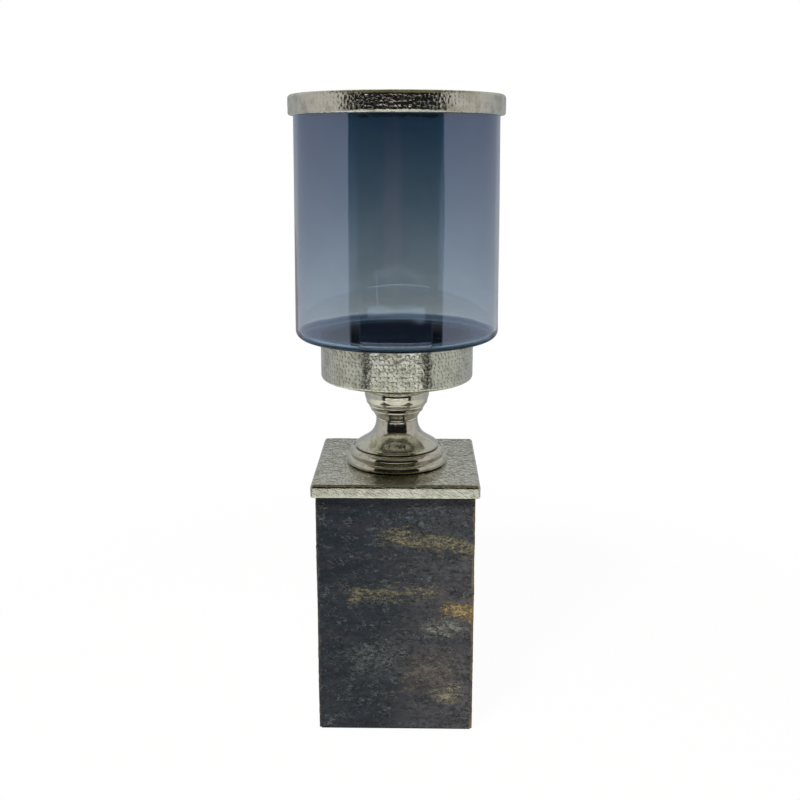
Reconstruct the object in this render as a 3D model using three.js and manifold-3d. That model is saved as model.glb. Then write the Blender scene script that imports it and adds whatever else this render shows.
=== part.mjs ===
// A hurricane candle lantern: a smoked glass cylinder with a hammered rim ring,
// standing in a hammered cup on a turned stem, on a square wooden pedestal.
// Millimetres, +Z up, origin at the middle of the underside.

import * as THREE from 'three';
import { mergeVertices } from 'three/addons/utils/BufferGeometryUtils.js';
import Module from 'manifold-3d';

const wasm = await Module();
wasm.setup();

// ---------------------------------------------------------------- driving sizes

// Gaps between pieces.
const SEAT_GAP = 0.1; // between two faces that rest on each other
const JOINERY_GAP = 0.15; // between glued wooden pieces
const PLATE_FIT = 0.3; // between the pedestal and the skirt of its cap, each side
const ROD_FIT = 0.3; // around the tie rod, on the radius
const SCREW_FIT = 0.2; // around a screw in its hole, on the radius
const SPIGOT_FIT = 0.9; // between the glass spigot and the cup, on the radius
const RING_FIT = 0.6; // between the rim ring and the glass, on the radius

// Pedestal.
const PEDESTAL_SIDE = 117; // outside, square
const PEDESTAL_HEIGHT = 193.5; // boards only
const PANEL_THICK = 9;
const FELT_THICK = 1.5;
const FELT_INSET = 1.5; // how far the felt stays inside the pedestal's edge
const BASE_BOARD_THICK = 9;
const TOP_BOARD_THICK = 12;
const BLOCK_SIDE = 16; // square corner blocks

// Screws that hold the base board to the corner blocks.
const SCREW_R = 2;
const SCREW_LENGTH = 30;
const SCREW_HEAD_R = 4;
const SCREW_HEAD_DEPTH = 2.4;

// Cap plate on top of the pedestal.
const PLATE_WALL = 3.2;
const PLATE_SKIRT = 10.3; // outside height
const PLATE_CORNER_R = 1.6;
const PLATE_EDGE_R = 1;

// Foot ring: two rounded steps.
const FOOT_R = 39.2;
const FOOT_LOWER_H = 6.4;
const FOOT_UPPER_H = 5.8;
const FOOT_STEP = 2.5; // how far the upper step stands in from the lower one

// Stem: the flared trumpet and the knop above it.
const TRUMPET_R = 32.3;
const TRUMPET_LIP_H = 2.5;
const TRUMPET_H = 22.1;
const NECK_R = 16;
const STEM_WALL = 4;
const KNOP_R = 24.8;
const KNOP_CURVE_H = 18.7; // from the neck up to the widest place
const KNOP_BAND_H = 2; // straight band at the widest place
const KNOP_COLLAR_R = 20;
const KNOP_COLLAR_H = 6.7;
const BEAD_R = 0.7; // fine raised rings on the knop

// Cup that holds the glass.
const CUP_R = 57.9;
const CUP_HEIGHT = 31.3;
const CUP_WALL = 2.6;
const CUP_FLOOR = 3;
const CUP_CORNER_R = 3;
const GASKET_THICK = 0.8;

// Tie rod, nuts and washers.
const ROD_R = 4;
const ROD_STICK_OUT = 2.5; // past each nut
const NUT_ACROSS_FLATS = 13;
const NUT_H = 6.5;
const WASHER_R = 12;
const WASHER_H = 1.6;

// Glass.
const GLASS_R = 75; // outside, at the rim
const GLASS_FLARE = 1.5; // how much wider it is just above the heel
const GLASS_HEIGHT = 172; // from the underside to the rim
const GLASS_WALL = 2.8;
const GLASS_FLOOR = 3;
const GLASS_HEEL_R = 5.5;
const SPIGOT_DEPTH = 14; // how far the sunk middle goes down into the cup
const SPIGOT_CORNER_R = 3;

// Rim ring: a channel that hangs on the rim of the glass.
const RING_WALL = 3.3;
const RING_INNER_WALL = 2.4;
const RING_SKIRT = 14.6;
const RING_WEB = 3;
const RING_EDGE_R = 1.6;
const RIM_CUSHION_THICK = 1;

// Fineness of the round pieces.
const WIDE_SEGMENTS = 48;
const STEM_SEGMENTS = 36;
const SMALL_SEGMENTS = 12;
const CORNER_STEPS = 3;

// ---------------------------------------------------------------- finishes

const nickel = new THREE.MeshStandardMaterial({ color: 0x9a9988, roughness: 0.22, metalness: 1 });
const smokeGlass = new THREE.MeshStandardMaterial({
  color: 0x66727f, roughness: 0.04, metalness: 0, transparent: true, opacity: 0.55,
});
const slatePaint = new THREE.MeshStandardMaterial({ color: 0x3d3f40, roughness: 0.55, metalness: 0 });
const fibreboard = new THREE.MeshStandardMaterial({ color: 0xa98c66, roughness: 0.85, metalness: 0 });
const blackFelt = new THREE.MeshStandardMaterial({ color: 0x1d1d1f, roughness: 0.95, metalness: 0 });
const clearRubber = new THREE.MeshStandardMaterial({ color: 0xb9bcc0, roughness: 0.5, metalness: 0 });
const zincSteel = new THREE.MeshStandardMaterial({ color: 0xa7a9ac, roughness: 0.4, metalness: 1 });

// ---------------------------------------------------------------- helpers

/** A geometry with no doubled points and no empty triangles. */
function welded(geometry) {
  const bare = geometry.clone();
  bare.deleteAttribute('normal');
  bare.deleteAttribute('uv');
  const merged = mergeVertices(bare, 1e-4);
  const kept = [];
  for (let i = 0; i < merged.index.count; i += 3) {
    const [a, b, c] = [merged.index.getX(i), merged.index.getX(i + 1), merged.index.getX(i + 2)];
    if (a !== b && b !== c && c !== a) {
      kept.push(a, b, c);
    }
  }
  merged.setIndex(kept);
  return merged;
}

/** The solid that a closed geometry bounds. */
function solidOf(geometry) {
  const merged = welded(geometry);
  return new wasm.Manifold(new wasm.Mesh({
    numProp: 3,
    vertProperties: new Float32Array(merged.attributes.position.array),
    triVerts: new Uint32Array(merged.index.array),
  }));
}

/** The geometry of a solid. */
function geometryOf(solid) {
  const mesh = solid.getMesh();
  const geometry = new THREE.BufferGeometry();
  geometry.setAttribute('position', new THREE.BufferAttribute(mesh.vertProperties, 3));
  geometry.setIndex(new THREE.BufferAttribute(mesh.triVerts, 1));
  geometry.computeVertexNormals();
  return geometry;
}

/** Turns a closed outline of [radius, height] points round the Z axis. */
function turned(outline, segments) {
  const points = [...outline, outline[0]].map(([r, z]) => new THREE.Vector2(r, z));
  const lathe = new THREE.LatheGeometry(points, segments);
  lathe.rotateX(Math.PI / 2);
  return welded(lathe);
}

/** Points of a quarter or half round corner; angles are in degrees. */
function round(r, z, radius, from, to, steps = CORNER_STEPS) {
  return Array.from({ length: steps + 1 }, (_, i) => {
    const angle = THREE.MathUtils.degToRad(from + ((to - from) * i) / steps);
    return [r + radius * Math.cos(angle), z + radius * Math.sin(angle)];
  });
}

/** Points along a cubic curve through two end points, pulled by two handles. */
function curve(start, handleA, handleB, end, steps) {
  const path = new THREE.CubicBezierCurve(
    new THREE.Vector2(...start),
    new THREE.Vector2(...handleA),
    new THREE.Vector2(...handleB),
    new THREE.Vector2(...end),
  );
  return path.getPoints(steps).map((point) => [point.x, point.y]);
}

/** A square outline with rounded corners, centred on the origin. */
function squareShape(side, cornerR) {
  const shape = new THREE.Shape();
  const inner = side / 2 - cornerR;
  shape.absarc(inner, inner, cornerR, 0, Math.PI / 2);
  shape.absarc(-inner, inner, cornerR, Math.PI / 2, Math.PI);
  shape.absarc(-inner, -inner, cornerR, Math.PI, Math.PI * 1.5);
  shape.absarc(inner, -inner, cornerR, Math.PI * 1.5, Math.PI * 2);
  return shape;
}

/** A plain square outline, centred on the origin. */
function plainSquare(side) {
  const half = side / 2;
  return new THREE.Shape([
    new THREE.Vector2(-half, -half),
    new THREE.Vector2(half, -half),
    new THREE.Vector2(half, half),
    new THREE.Vector2(-half, half),
  ]);
}

/** A round hole in a shape. */
function roundHole(x, y, radius) {
  const path = new THREE.Path();
  path.absarc(x, y, radius, 0, Math.PI * 2, true);
  return path;
}

/** A shape raised along Z from 0 to a height. */
function raised(shape, height) {
  return new THREE.ExtrudeGeometry(shape, {
    depth: height, bevelEnabled: false, curveSegments: SMALL_SEGMENTS,
  });
}

/** A ring of square section, from an inner to an outer radius. */
function flatRing(innerR, outerR, height, segments) {
  return turned([[innerR, 0], [outerR, 0], [outerR, height], [innerR, height]], segments);
}

/** A named piece at a height in its group. */
function piece(name, geometry, material, z = 0) {
  const mesh = new THREE.Mesh(geometry, material);
  mesh.name = name;
  mesh.position.z = z;
  return mesh;
}

// ---------------------------------------------------------------- pedestal

const INNER_SIDE = PEDESTAL_SIDE - 2 * PANEL_THICK; // between the panels
const BOARD_SIDE = INNER_SIDE - 2 * JOINERY_GAP;
const BLOCK_CENTRE = BOARD_SIDE / 2 - BLOCK_SIDE / 2;
const BLOCK_LENGTH = PEDESTAL_HEIGHT - BASE_BOARD_THICK - TOP_BOARD_THICK - 2 * JOINERY_GAP;
const CORNERS = [[1, 1], [-1, 1], [-1, -1], [1, -1]];
const ROD_HOLE_R = ROD_R + ROD_FIT;

/** One pedestal board, mitred at both ends; its outside faces -Y. */
function panelGeometry() {
  const half = PEDESTAL_SIDE / 2;
  const mitre = JOINERY_GAP / Math.SQRT2; // shortens each end by half the gap across the mitre
  return raised(new THREE.Shape([
    new THREE.Vector2(-half + mitre, -half),
    new THREE.Vector2(half - mitre, -half),
    new THREE.Vector2(half - mitre - PANEL_THICK, -half + PANEL_THICK),
    new THREE.Vector2(-half + mitre + PANEL_THICK, -half + PANEL_THICK),
  ]), PEDESTAL_HEIGHT);
}

/** A countersunk screw, head down, its head flush with height 0. */
function screwGeometry(extra = 0) {
  const point = SCREW_R * 1.2;
  return turned([
    [0, -extra],
    [SCREW_HEAD_R + extra, -extra],
    [SCREW_HEAD_R + extra, 0],
    [SCREW_R + extra, SCREW_HEAD_DEPTH + extra],
    [SCREW_R + extra, SCREW_LENGTH - point + extra],
    [0, SCREW_LENGTH + 2 * extra],
  ], SMALL_SEGMENTS);
}

/** The inner board at the foot, with a countersunk hole near each corner. */
function baseBoardGeometry() {
  let board = solidOf(raised(plainSquare(BOARD_SIDE), BASE_BOARD_THICK));
  const hole = solidOf(screwGeometry(SCREW_FIT));
  for (const [sx, sy] of CORNERS) {
    board = board.subtract(hole.translate(sx * BLOCK_CENTRE, sy * BLOCK_CENTRE, 0));
  }
  return geometryOf(board);
}

/** One corner block with the blind hole of its screw. */
function blockGeometry() {
  const block = solidOf(raised(plainSquare(BLOCK_SIDE), BLOCK_LENGTH));
  const depth = BASE_BOARD_THICK + JOINERY_GAP;
  const hole = solidOf(screwGeometry(SCREW_FIT)).translate(0, 0, -depth);
  return geometryOf(block.subtract(hole));
}

/** The inner board at the top, drilled for the tie rod. */
function topBoardGeometry() {
  const shape = plainSquare(BOARD_SIDE);
  shape.holes.push(roundHole(0, 0, ROD_HOLE_R));
  return raised(shape, TOP_BOARD_THICK);
}

const pedestal = new THREE.Group();
pedestal.position.z = FELT_THICK + SEAT_GAP;
const panelNames = ['panel_front', 'panel_right', 'panel_back', 'panel_left'];
panelNames.forEach((name, i) => {
  const panel = piece(name, panelGeometry(), slatePaint);
  panel.rotation.z = (i * Math.PI) / 2;
  pedestal.add(panel);
});
pedestal.add(piece('base_board', baseBoardGeometry(), fibreboard));
const topBoardZ = PEDESTAL_HEIGHT - TOP_BOARD_THICK;
pedestal.add(piece('top_board', topBoardGeometry(), fibreboard, topBoardZ));
CORNERS.forEach(([sx, sy], i) => {
  const block = piece(`corner_block_${i + 1}`, blockGeometry(), fibreboard, BASE_BOARD_THICK + JOINERY_GAP);
  const screw = piece(`base_screw_${i + 1}`, screwGeometry(), zincSteel);
  for (const part of [block, screw]) {
    part.position.x = sx * BLOCK_CENTRE;
    part.position.y = sy * BLOCK_CENTRE;
    pedestal.add(part);
  }
});
const felt = piece('base_felt', raised(plainSquare(PEDESTAL_SIDE - 2 * FELT_INSET), FELT_THICK), blackFelt);

// ---------------------------------------------------------------- cap plate

const PLATE_SIDE = PEDESTAL_SIDE + 2 * (PLATE_FIT + PLATE_WALL);
const PLATE_HOLLOW = PLATE_SKIRT - PLATE_WALL;

/** A shallow inverted tray with softened edges and a hole for the rod; its top is at the skirt's height. */
function capPlateGeometry() {
  const block = new THREE.ExtrudeGeometry(squareShape(PLATE_SIDE - 2 * PLATE_EDGE_R, PLATE_CORNER_R), {
    depth: PLATE_SKIRT - 2 * PLATE_EDGE_R,
    bevelEnabled: true,
    bevelThickness: PLATE_EDGE_R,
    bevelSize: PLATE_EDGE_R,
    bevelSegments: 2,
    curveSegments: CORNER_STEPS,
  });
  block.translate(0, 0, PLATE_EDGE_R);
  const below = PLATE_EDGE_R; // how far the cutters reach past the underside
  const hollow = raised(plainSquare(PEDESTAL_SIDE + 2 * PLATE_FIT), PLATE_HOLLOW + below);
  hollow.translate(0, 0, -below);
  const hole = new THREE.CylinderGeometry(ROD_HOLE_R, ROD_HOLE_R, 3 * PLATE_SKIRT, SMALL_SEGMENTS);
  hole.rotateX(Math.PI / 2);
  return geometryOf(solidOf(block).subtract(solidOf(hollow)).subtract(solidOf(hole)));
}

const boardsTop = pedestal.position.z + PEDESTAL_HEIGHT;
const plateBottom = boardsTop + SEAT_GAP - PLATE_HOLLOW;
const plateTop = plateBottom + PLATE_SKIRT;
const capPlate = piece('cap_plate', capPlateGeometry(), nickel, plateBottom);

// ---------------------------------------------------------------- stem

const FOOT_HEIGHT = FOOT_LOWER_H + FOOT_UPPER_H;

/** Two rounded steps, one on the other, bored for the rod. */
function footRingGeometry() {
  const low = FOOT_LOWER_H / 2;
  const high = FOOT_UPPER_H / 2;
  return turned([
    [ROD_HOLE_R, 0],
    ...round(FOOT_R - low, low, low, -90, 80, 6),
    ...round(FOOT_R - FOOT_STEP - high, FOOT_LOWER_H + high, high, -70, 90, 6),
    [ROD_HOLE_R, FOOT_HEIGHT],
  ], STEM_SEGMENTS);
}

/** A flared foot with a lip, hollow below its neck. */
function trumpetGeometry() {
  const lipR = TRUMPET_LIP_H / 2;
  const flare = TRUMPET_R - 1; // where the flare leaves the lip
  const flareZ = TRUMPET_LIP_H + 0.2;
  const rise = TRUMPET_H - flareZ;
  return turned([
    [TRUMPET_R - lipR - STEM_WALL, 0],
    ...round(TRUMPET_R - lipR, lipR, lipR, -90, 60, 4),
    ...curve(
      [flare, flareZ],
      [flare - 0.34 * (flare - NECK_R), flareZ + 0.2 * rise],
      [NECK_R, flareZ + 0.35 * rise],
      [NECK_R, TRUMPET_H],
      8,
    ),
    [ROD_HOLE_R, TRUMPET_H],
    [ROD_HOLE_R, TRUMPET_H - STEM_WALL],
    [NECK_R - STEM_WALL, TRUMPET_H - STEM_WALL],
    [NECK_R - STEM_WALL, TRUMPET_LIP_H + STEM_WALL],
    [TRUMPET_R - lipR - 2 * STEM_WALL, STEM_WALL / 2],
  ], STEM_SEGMENTS);
}

const KNOP_SHOULDER_H = KNOP_R - KNOP_COLLAR_R;
const KNOP_H = KNOP_CURVE_H + KNOP_BAND_H + KNOP_SHOULDER_H + KNOP_COLLAR_H;
const KNOP_BEADS = [5, 8]; // which points of its curve carry a bead

/** A rounded knop that opens upwards, with two fine beads and a collar under the cup. */
function knopGeometry() {
  const swell = KNOP_R - NECK_R;
  const side = curve(
    [NECK_R, 0],
    [NECK_R, 0.21 * KNOP_CURVE_H],
    [NECK_R + 0.73 * swell, 0.44 * KNOP_CURVE_H],
    [KNOP_R, KNOP_CURVE_H],
    10,
  );
  const beaded = side.flatMap(([r, z], i) => (
    KNOP_BEADS.includes(i) ? [[r, z - BEAD_R / 2], [r + BEAD_R / 2, z], [r, z + BEAD_R / 2]] : [[r, z]]
  ));
  const bandTop = KNOP_CURVE_H + KNOP_BAND_H;
  return turned([
    [ROD_HOLE_R, 0],
    ...beaded,
    ...round(KNOP_COLLAR_R, bandTop, KNOP_SHOULDER_H, 0, 90, 3),
    [KNOP_COLLAR_R, KNOP_H],
    [KNOP_COLLAR_R - STEM_WALL, KNOP_H],
    [KNOP_COLLAR_R - STEM_WALL, KNOP_CURVE_H * 0.75],
    [NECK_R - STEM_WALL, STEM_WALL],
    [ROD_HOLE_R, STEM_WALL],
  ], STEM_SEGMENTS);
}

/** A six-sided nut with a plain bore. */
function nutGeometry() {
  const corner = NUT_ACROSS_FLATS / Math.sqrt(3);
  const shape = new THREE.Shape(Array.from({ length: 6 }, (_, i) => (
    new THREE.Vector2(corner * Math.cos((i * Math.PI) / 3), corner * Math.sin((i * Math.PI) / 3))
  )));
  shape.holes.push(roundHole(0, 0, ROD_R + ROD_FIT));
  return raised(shape, NUT_H);
}

/** A round bar with a chamfer at both ends. */
function rodGeometry(length) {
  const chamfer = ROD_R * 0.2;
  return turned([
    [0, 0],
    [ROD_R - chamfer, 0],
    [ROD_R, chamfer],
    [ROD_R, length - chamfer],
    [ROD_R - chamfer, length],
    [0, length],
  ], SMALL_SEGMENTS);
}

const stem = new THREE.Group();
stem.position.z = plateTop + SEAT_GAP;
const trumpetZ = FOOT_HEIGHT + SEAT_GAP;
const knopZ = trumpetZ + TRUMPET_H + SEAT_GAP;
const cupZ = knopZ + KNOP_H + SEAT_GAP;
stem.add(piece('foot_ring', footRingGeometry(), nickel));
stem.add(piece('stem_trumpet', trumpetGeometry(), nickel, trumpetZ));
stem.add(piece('stem_knop', knopGeometry(), nickel, knopZ));

// ---------------------------------------------------------------- cup

/** A straight-sided cup with a rounded lower corner and a hole for the rod. */
function cupGeometry() {
  const innerR = CUP_R - CUP_WALL;
  const innerCorner = CUP_CORNER_R - 1;
  return turned([
    [ROD_HOLE_R, 0],
    ...round(CUP_R - CUP_CORNER_R, CUP_CORNER_R, CUP_CORNER_R, -90, 0),
    ...round(CUP_R - CUP_WALL / 2, CUP_HEIGHT - CUP_WALL / 2, CUP_WALL / 2, 0, 180, 4),
    ...round(innerR - innerCorner, CUP_FLOOR + innerCorner, innerCorner, 0, -90, 2),
    [ROD_HOLE_R, CUP_FLOOR],
  ], WIDE_SEGMENTS);
}

const gasketInnerR = CUP_R - CUP_WALL;
const gasketOuterR = CUP_R - CUP_WALL * 0.2;
const washerZ = cupZ + CUP_FLOOR + SEAT_GAP;
const nutZ = washerZ + WASHER_H + SEAT_GAP;
stem.add(piece('holder_cup', cupGeometry(), nickel, cupZ));
stem.add(piece(
  'cup_gasket',
  flatRing(gasketInnerR, gasketOuterR, GASKET_THICK, WIDE_SEGMENTS),
  clearRubber,
  cupZ + CUP_HEIGHT + SEAT_GAP,
));
stem.add(piece('cup_washer', flatRing(ROD_HOLE_R, WASHER_R, WASHER_H, SMALL_SEGMENTS), zincSteel, washerZ));
stem.add(piece('cup_nut', nutGeometry(), zincSteel, nutZ));

// The rod runs from below the top board to above the cup's nut.
const rodTop = stem.position.z + nutZ + NUT_H + ROD_STICK_OUT;
const boardUnder = pedestal.position.z + topBoardZ;
const lowWasherZ = boardUnder - SEAT_GAP - WASHER_H;
const lowNutZ = lowWasherZ - SEAT_GAP - NUT_H;
const rodBottom = lowNutZ - ROD_STICK_OUT;
const tieRod = piece('tie_rod', rodGeometry(rodTop - rodBottom), zincSteel, rodBottom);
const lowWasher = piece(
  'rod_washer',
  flatRing(ROD_HOLE_R, WASHER_R, WASHER_H, SMALL_SEGMENTS),
  zincSteel,
  lowWasherZ,
);
const lowNut = piece('rod_nut', nutGeometry(), zincSteel, lowNutZ);

// ---------------------------------------------------------------- glass

const SPIGOT_R = CUP_R - CUP_WALL - SPIGOT_FIT;
const GLASS_FOOT_R = GLASS_R + GLASS_FLARE;

/** A cylinder closed below, its middle sunk into a spigot that drops into the cup. */
function glassGeometry() {
  const wellR = SPIGOT_R - GLASS_WALL;
  const floorTop = GLASS_FLOOR;
  const wellCorner = SPIGOT_CORNER_R - 1;
  const innerHeel = GLASS_HEEL_R - GLASS_WALL;
  return turned([
    [0, -SPIGOT_DEPTH],
    ...round(SPIGOT_R - SPIGOT_CORNER_R, SPIGOT_CORNER_R - SPIGOT_DEPTH, SPIGOT_CORNER_R, -90, 0, 3),
    [SPIGOT_R, 0],
    ...round(GLASS_FOOT_R - GLASS_HEEL_R, GLASS_HEEL_R, GLASS_HEEL_R, -90, 0),
    ...round(GLASS_R - GLASS_WALL / 2, GLASS_HEIGHT - GLASS_WALL / 2, GLASS_WALL / 2, 0, 180, 4),
    [GLASS_FOOT_R - GLASS_WALL, GLASS_HEEL_R],
    ...round(GLASS_FOOT_R - GLASS_HEEL_R, floorTop + innerHeel, innerHeel, 0, -90, 3).slice(1),
    [wellR + 1, floorTop],
    [wellR, floorTop - 1],
    ...round(wellR - wellCorner, GLASS_FLOOR - SPIGOT_DEPTH + wellCorner, wellCorner, 0, -90, 2),
    [0, GLASS_FLOOR - SPIGOT_DEPTH],
  ], WIDE_SEGMENTS);
}

const shade = new THREE.Group();
shade.position.z = stem.position.z + cupZ + CUP_HEIGHT + GASKET_THICK + 2 * SEAT_GAP;
shade.add(piece('hurricane_glass', glassGeometry(), smokeGlass));

// ---------------------------------------------------------------- rim ring

/** An upside-down channel with rounded edges that hangs on the rim of the glass. */
function ringGeometry() {
  const outerR = GLASS_R + RING_FIT + RING_WALL;
  const slotOuterR = GLASS_R + RING_FIT;
  const slotInnerR = GLASS_R - GLASS_WALL - RING_FIT;
  const innerR = slotInnerR - RING_INNER_WALL;
  const lowR = RING_INNER_WALL / 2;
  return turned([
    ...round(outerR - RING_EDGE_R, RING_EDGE_R, RING_EDGE_R, -90, 0),
    ...round(outerR - 2 * RING_EDGE_R, RING_SKIRT - 2 * RING_EDGE_R, 2 * RING_EDGE_R, 0, 90),
    ...round(innerR + RING_EDGE_R, RING_SKIRT - RING_EDGE_R, RING_EDGE_R, 90, 180),
    ...round(innerR + lowR, lowR, lowR, 180, 360, 4),
    [slotInnerR, RING_SKIRT - RING_WEB],
    [slotOuterR, RING_SKIRT - RING_WEB],
    [slotOuterR, 0],
  ], WIDE_SEGMENTS);
}

const ring = new THREE.Group();
ring.position.z = GLASS_HEIGHT + 2 * SEAT_GAP + RIM_CUSHION_THICK + RING_WEB - RING_SKIRT;
ring.add(piece('top_ring', ringGeometry(), nickel));
ring.add(piece(
  'rim_cushion',
  flatRing(GLASS_R - GLASS_WALL, GLASS_R, RIM_CUSHION_THICK, WIDE_SEGMENTS),
  clearRubber,
  RING_SKIRT - RING_WEB - SEAT_GAP - RIM_CUSHION_THICK,
));
shade.add(ring);

// ---------------------------------------------------------------- the lantern

const lantern = new THREE.Group();
lantern.add(felt, pedestal, capPlate, tieRod, lowWasher, lowNut, stem, shade);

export default lantern;
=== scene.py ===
"""Looks of a hurricane candle lantern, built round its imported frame.

A smoked glass cylinder with a hammered nickel rim stands in a hammered nickel cup. A polished
cast stem carries the cup on a square pedestal with a distressed slate finish. Lengths in this
file are millimetres unless a name says otherwise, and meshes are written in metres.
"""

import logging
import math
from dataclasses import dataclass
from enum import Enum
from typing import Callable, Sequence

import bmesh
import bpy
import numpy as np
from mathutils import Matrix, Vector


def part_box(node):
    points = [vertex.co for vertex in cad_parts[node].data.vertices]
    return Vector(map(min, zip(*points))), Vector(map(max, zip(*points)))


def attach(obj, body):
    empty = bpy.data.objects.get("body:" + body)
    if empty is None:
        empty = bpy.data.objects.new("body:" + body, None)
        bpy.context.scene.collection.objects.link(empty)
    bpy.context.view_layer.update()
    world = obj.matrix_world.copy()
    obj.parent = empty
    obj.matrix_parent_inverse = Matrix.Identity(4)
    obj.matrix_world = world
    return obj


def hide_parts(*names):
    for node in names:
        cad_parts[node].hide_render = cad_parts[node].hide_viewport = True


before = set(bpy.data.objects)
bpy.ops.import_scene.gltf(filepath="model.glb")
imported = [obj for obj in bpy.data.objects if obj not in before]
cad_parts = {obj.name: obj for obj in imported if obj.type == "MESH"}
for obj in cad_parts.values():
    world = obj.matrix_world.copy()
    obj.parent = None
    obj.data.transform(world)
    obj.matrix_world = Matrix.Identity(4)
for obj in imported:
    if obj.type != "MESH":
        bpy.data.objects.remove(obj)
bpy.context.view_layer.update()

logging.basicConfig(level=logging.INFO, format="%(levelname)s %(message)s")
log = logging.getLogger("lantern")

Array = np.ndarray
Tree = bpy.types.NodeTree
Node = bpy.types.Node
MM = 0.001  # metres in a millimetre


class Body(Enum):
    """The rigid bodies of the lantern."""

    STAND = "root"
    SHADE = "shade"
    RING = "ring"


class Slot(Enum):
    """The material slots of the record."""

    HAMMERED = "nickel_hammered"
    POLISHED = "nickel_polished"
    GLASS = "smoke_glass"
    SLATE = "slate_finish"
    BOARD = "fibreboard"
    FELT = "felt"
    RUBBER = "clear_rubber"
    STEEL = "zinc_steel"


# ------------------------------------------------------------------ surfaces


def span(node: str) -> tuple[float, float, float]:
    """Half width and the lowest and highest height of a CAD node.

    Args:
        node: The node's name.

    Returns:
        Half its width along X, its lowest Z and its highest Z, in millimetres.
    """
    low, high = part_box(node)
    return (high.x - low.x) / 2 / MM, low.z / MM, high.z / MM


def smooth(value: Array | float, low: float, high: float) -> Array:
    """Rises from 0 at low to 1 at high along 3t^2 - 2t^3, with t the share of the way."""
    t = np.clip((np.asarray(value, float) - low) / (high - low), 0.0, 1.0)
    return t * t * (3.0 - 2.0 * t)


def drift(points: Array, cell: float, seed: int) -> Array:
    """A smooth random field.

    Random values stand on the corners of a cubic lattice, and between them the field is the
    sum of the eight nearest, each weighted by a smoothstep of its distance along X, Y and Z.

    Args:
        points: Positions, shape (..., 3).
        cell: Edge of a lattice cube, in the units of the points.
        seed: Picks the random values.

    Returns:
        Values from -1 to 1, shape (...).
    """
    count = 32
    table = np.random.default_rng(seed).uniform(-1.0, 1.0, (count, count, count))
    scaled = points / cell
    corner = np.floor(scaled).astype(int)
    share = scaled - corner
    share = share * share * (3.0 - 2.0 * share)
    total = np.zeros(points.shape[:-1])
    for step in np.ndindex(2, 2, 2):
        index = (corner + np.array(step)) % count
        weight = np.prod(np.where(np.array(step) == 1, share, 1.0 - share), axis=-1)
        total += weight * table[index[..., 0], index[..., 1], index[..., 2]]
    return total


def round_blows(angle: Array, run: Array, radius: float, pitch: float, seed: int) -> Array:
    """Hammer blows on a round piece, laid flat as its girth by the run of its section."""
    girth = 2 * math.pi * radius
    return hammer_blows(angle / (2 * math.pi) * girth, run, girth, pitch, seed)


def hammer_blows(u: Array, v: Array, around: float, pitch: float, seed: int) -> Array:
    """Depth of overlapping hammer blows on a surface laid flat.

    One blow stands near the middle of each cell of a square lattice, moved by a random part of
    the cell. A blow is a bowl, 1 - (distance / radius)^2, times 0.4 + 0.6 x (place along the
    blow's own lean). It is deepest at one side, where it ends in a crescent lip. The deepest
    bowl counts, so that neighbours meet in sharp ridges.

    Args:
        u: Distance along the first direction; the pattern closes on itself after `around`.
        v: Distance along the second direction.
        around: Length after which u comes back to its start.
        pitch: Distance between neighbouring blows.
        seed: Picks the random places.

    Returns:
        Depth from 0 to about 1, of the same shape as u.
    """
    columns = max(3, round(around / pitch))
    rows = 256
    rng = np.random.default_rng(seed)
    shift = rng.uniform(-0.38, 0.38, (columns, rows, 2))
    radius = rng.uniform(0.6, 0.95, (columns, rows))
    strength = rng.uniform(0.5, 1.0, (columns, rows))
    lean = rng.normal(2.1, 0.9, (columns, rows))
    x, y = u / around * columns, v / pitch
    column, row = np.floor(x).astype(int), np.floor(y).astype(int)
    depth = np.zeros(np.broadcast(u, v).shape)
    for di, dj in np.ndindex(3, 3):
        cell = ((column + di - 1) % columns, (row + dj - 1) % rows)
        place, size = shift[cell], radius[cell]
        dx = (x - (column + di - 0.5 + place[..., 0])) / size
        dy = (y - (row + dj - 0.5 + place[..., 1])) / size
        bowl = np.clip(1.0 - (dx * dx + dy * dy), 0.0, 1.0)
        tilt = 0.4 + 0.6 * (dx * np.cos(lean[cell]) + dy * np.sin(lean[cell]))
        depth = np.maximum(depth, bowl * tilt * strength[cell] * 1.5)
    return depth


def wrinkles(points: Array, cell: float, seed: int) -> Array:
    """Sharp raised lines: (1 - |random field|)^4, in two sizes, the finer one at half height.

    Args:
        points: Positions, shape (..., 3).
        cell: Size of the larger wrinkles.
        seed: Picks the random field.

    Returns:
        Height from 0 to about 1.5, shape (...).
    """
    large = 1.0 - np.abs(drift(points, cell, seed)) * 1.3
    small = 1.0 - np.abs(drift(points, cell * 0.45, seed + 1)) * 1.3
    return np.clip(large, 0.0, 1.0) ** 4 + 0.5 * np.clip(small, 0.0, 1.0) ** 4


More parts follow.
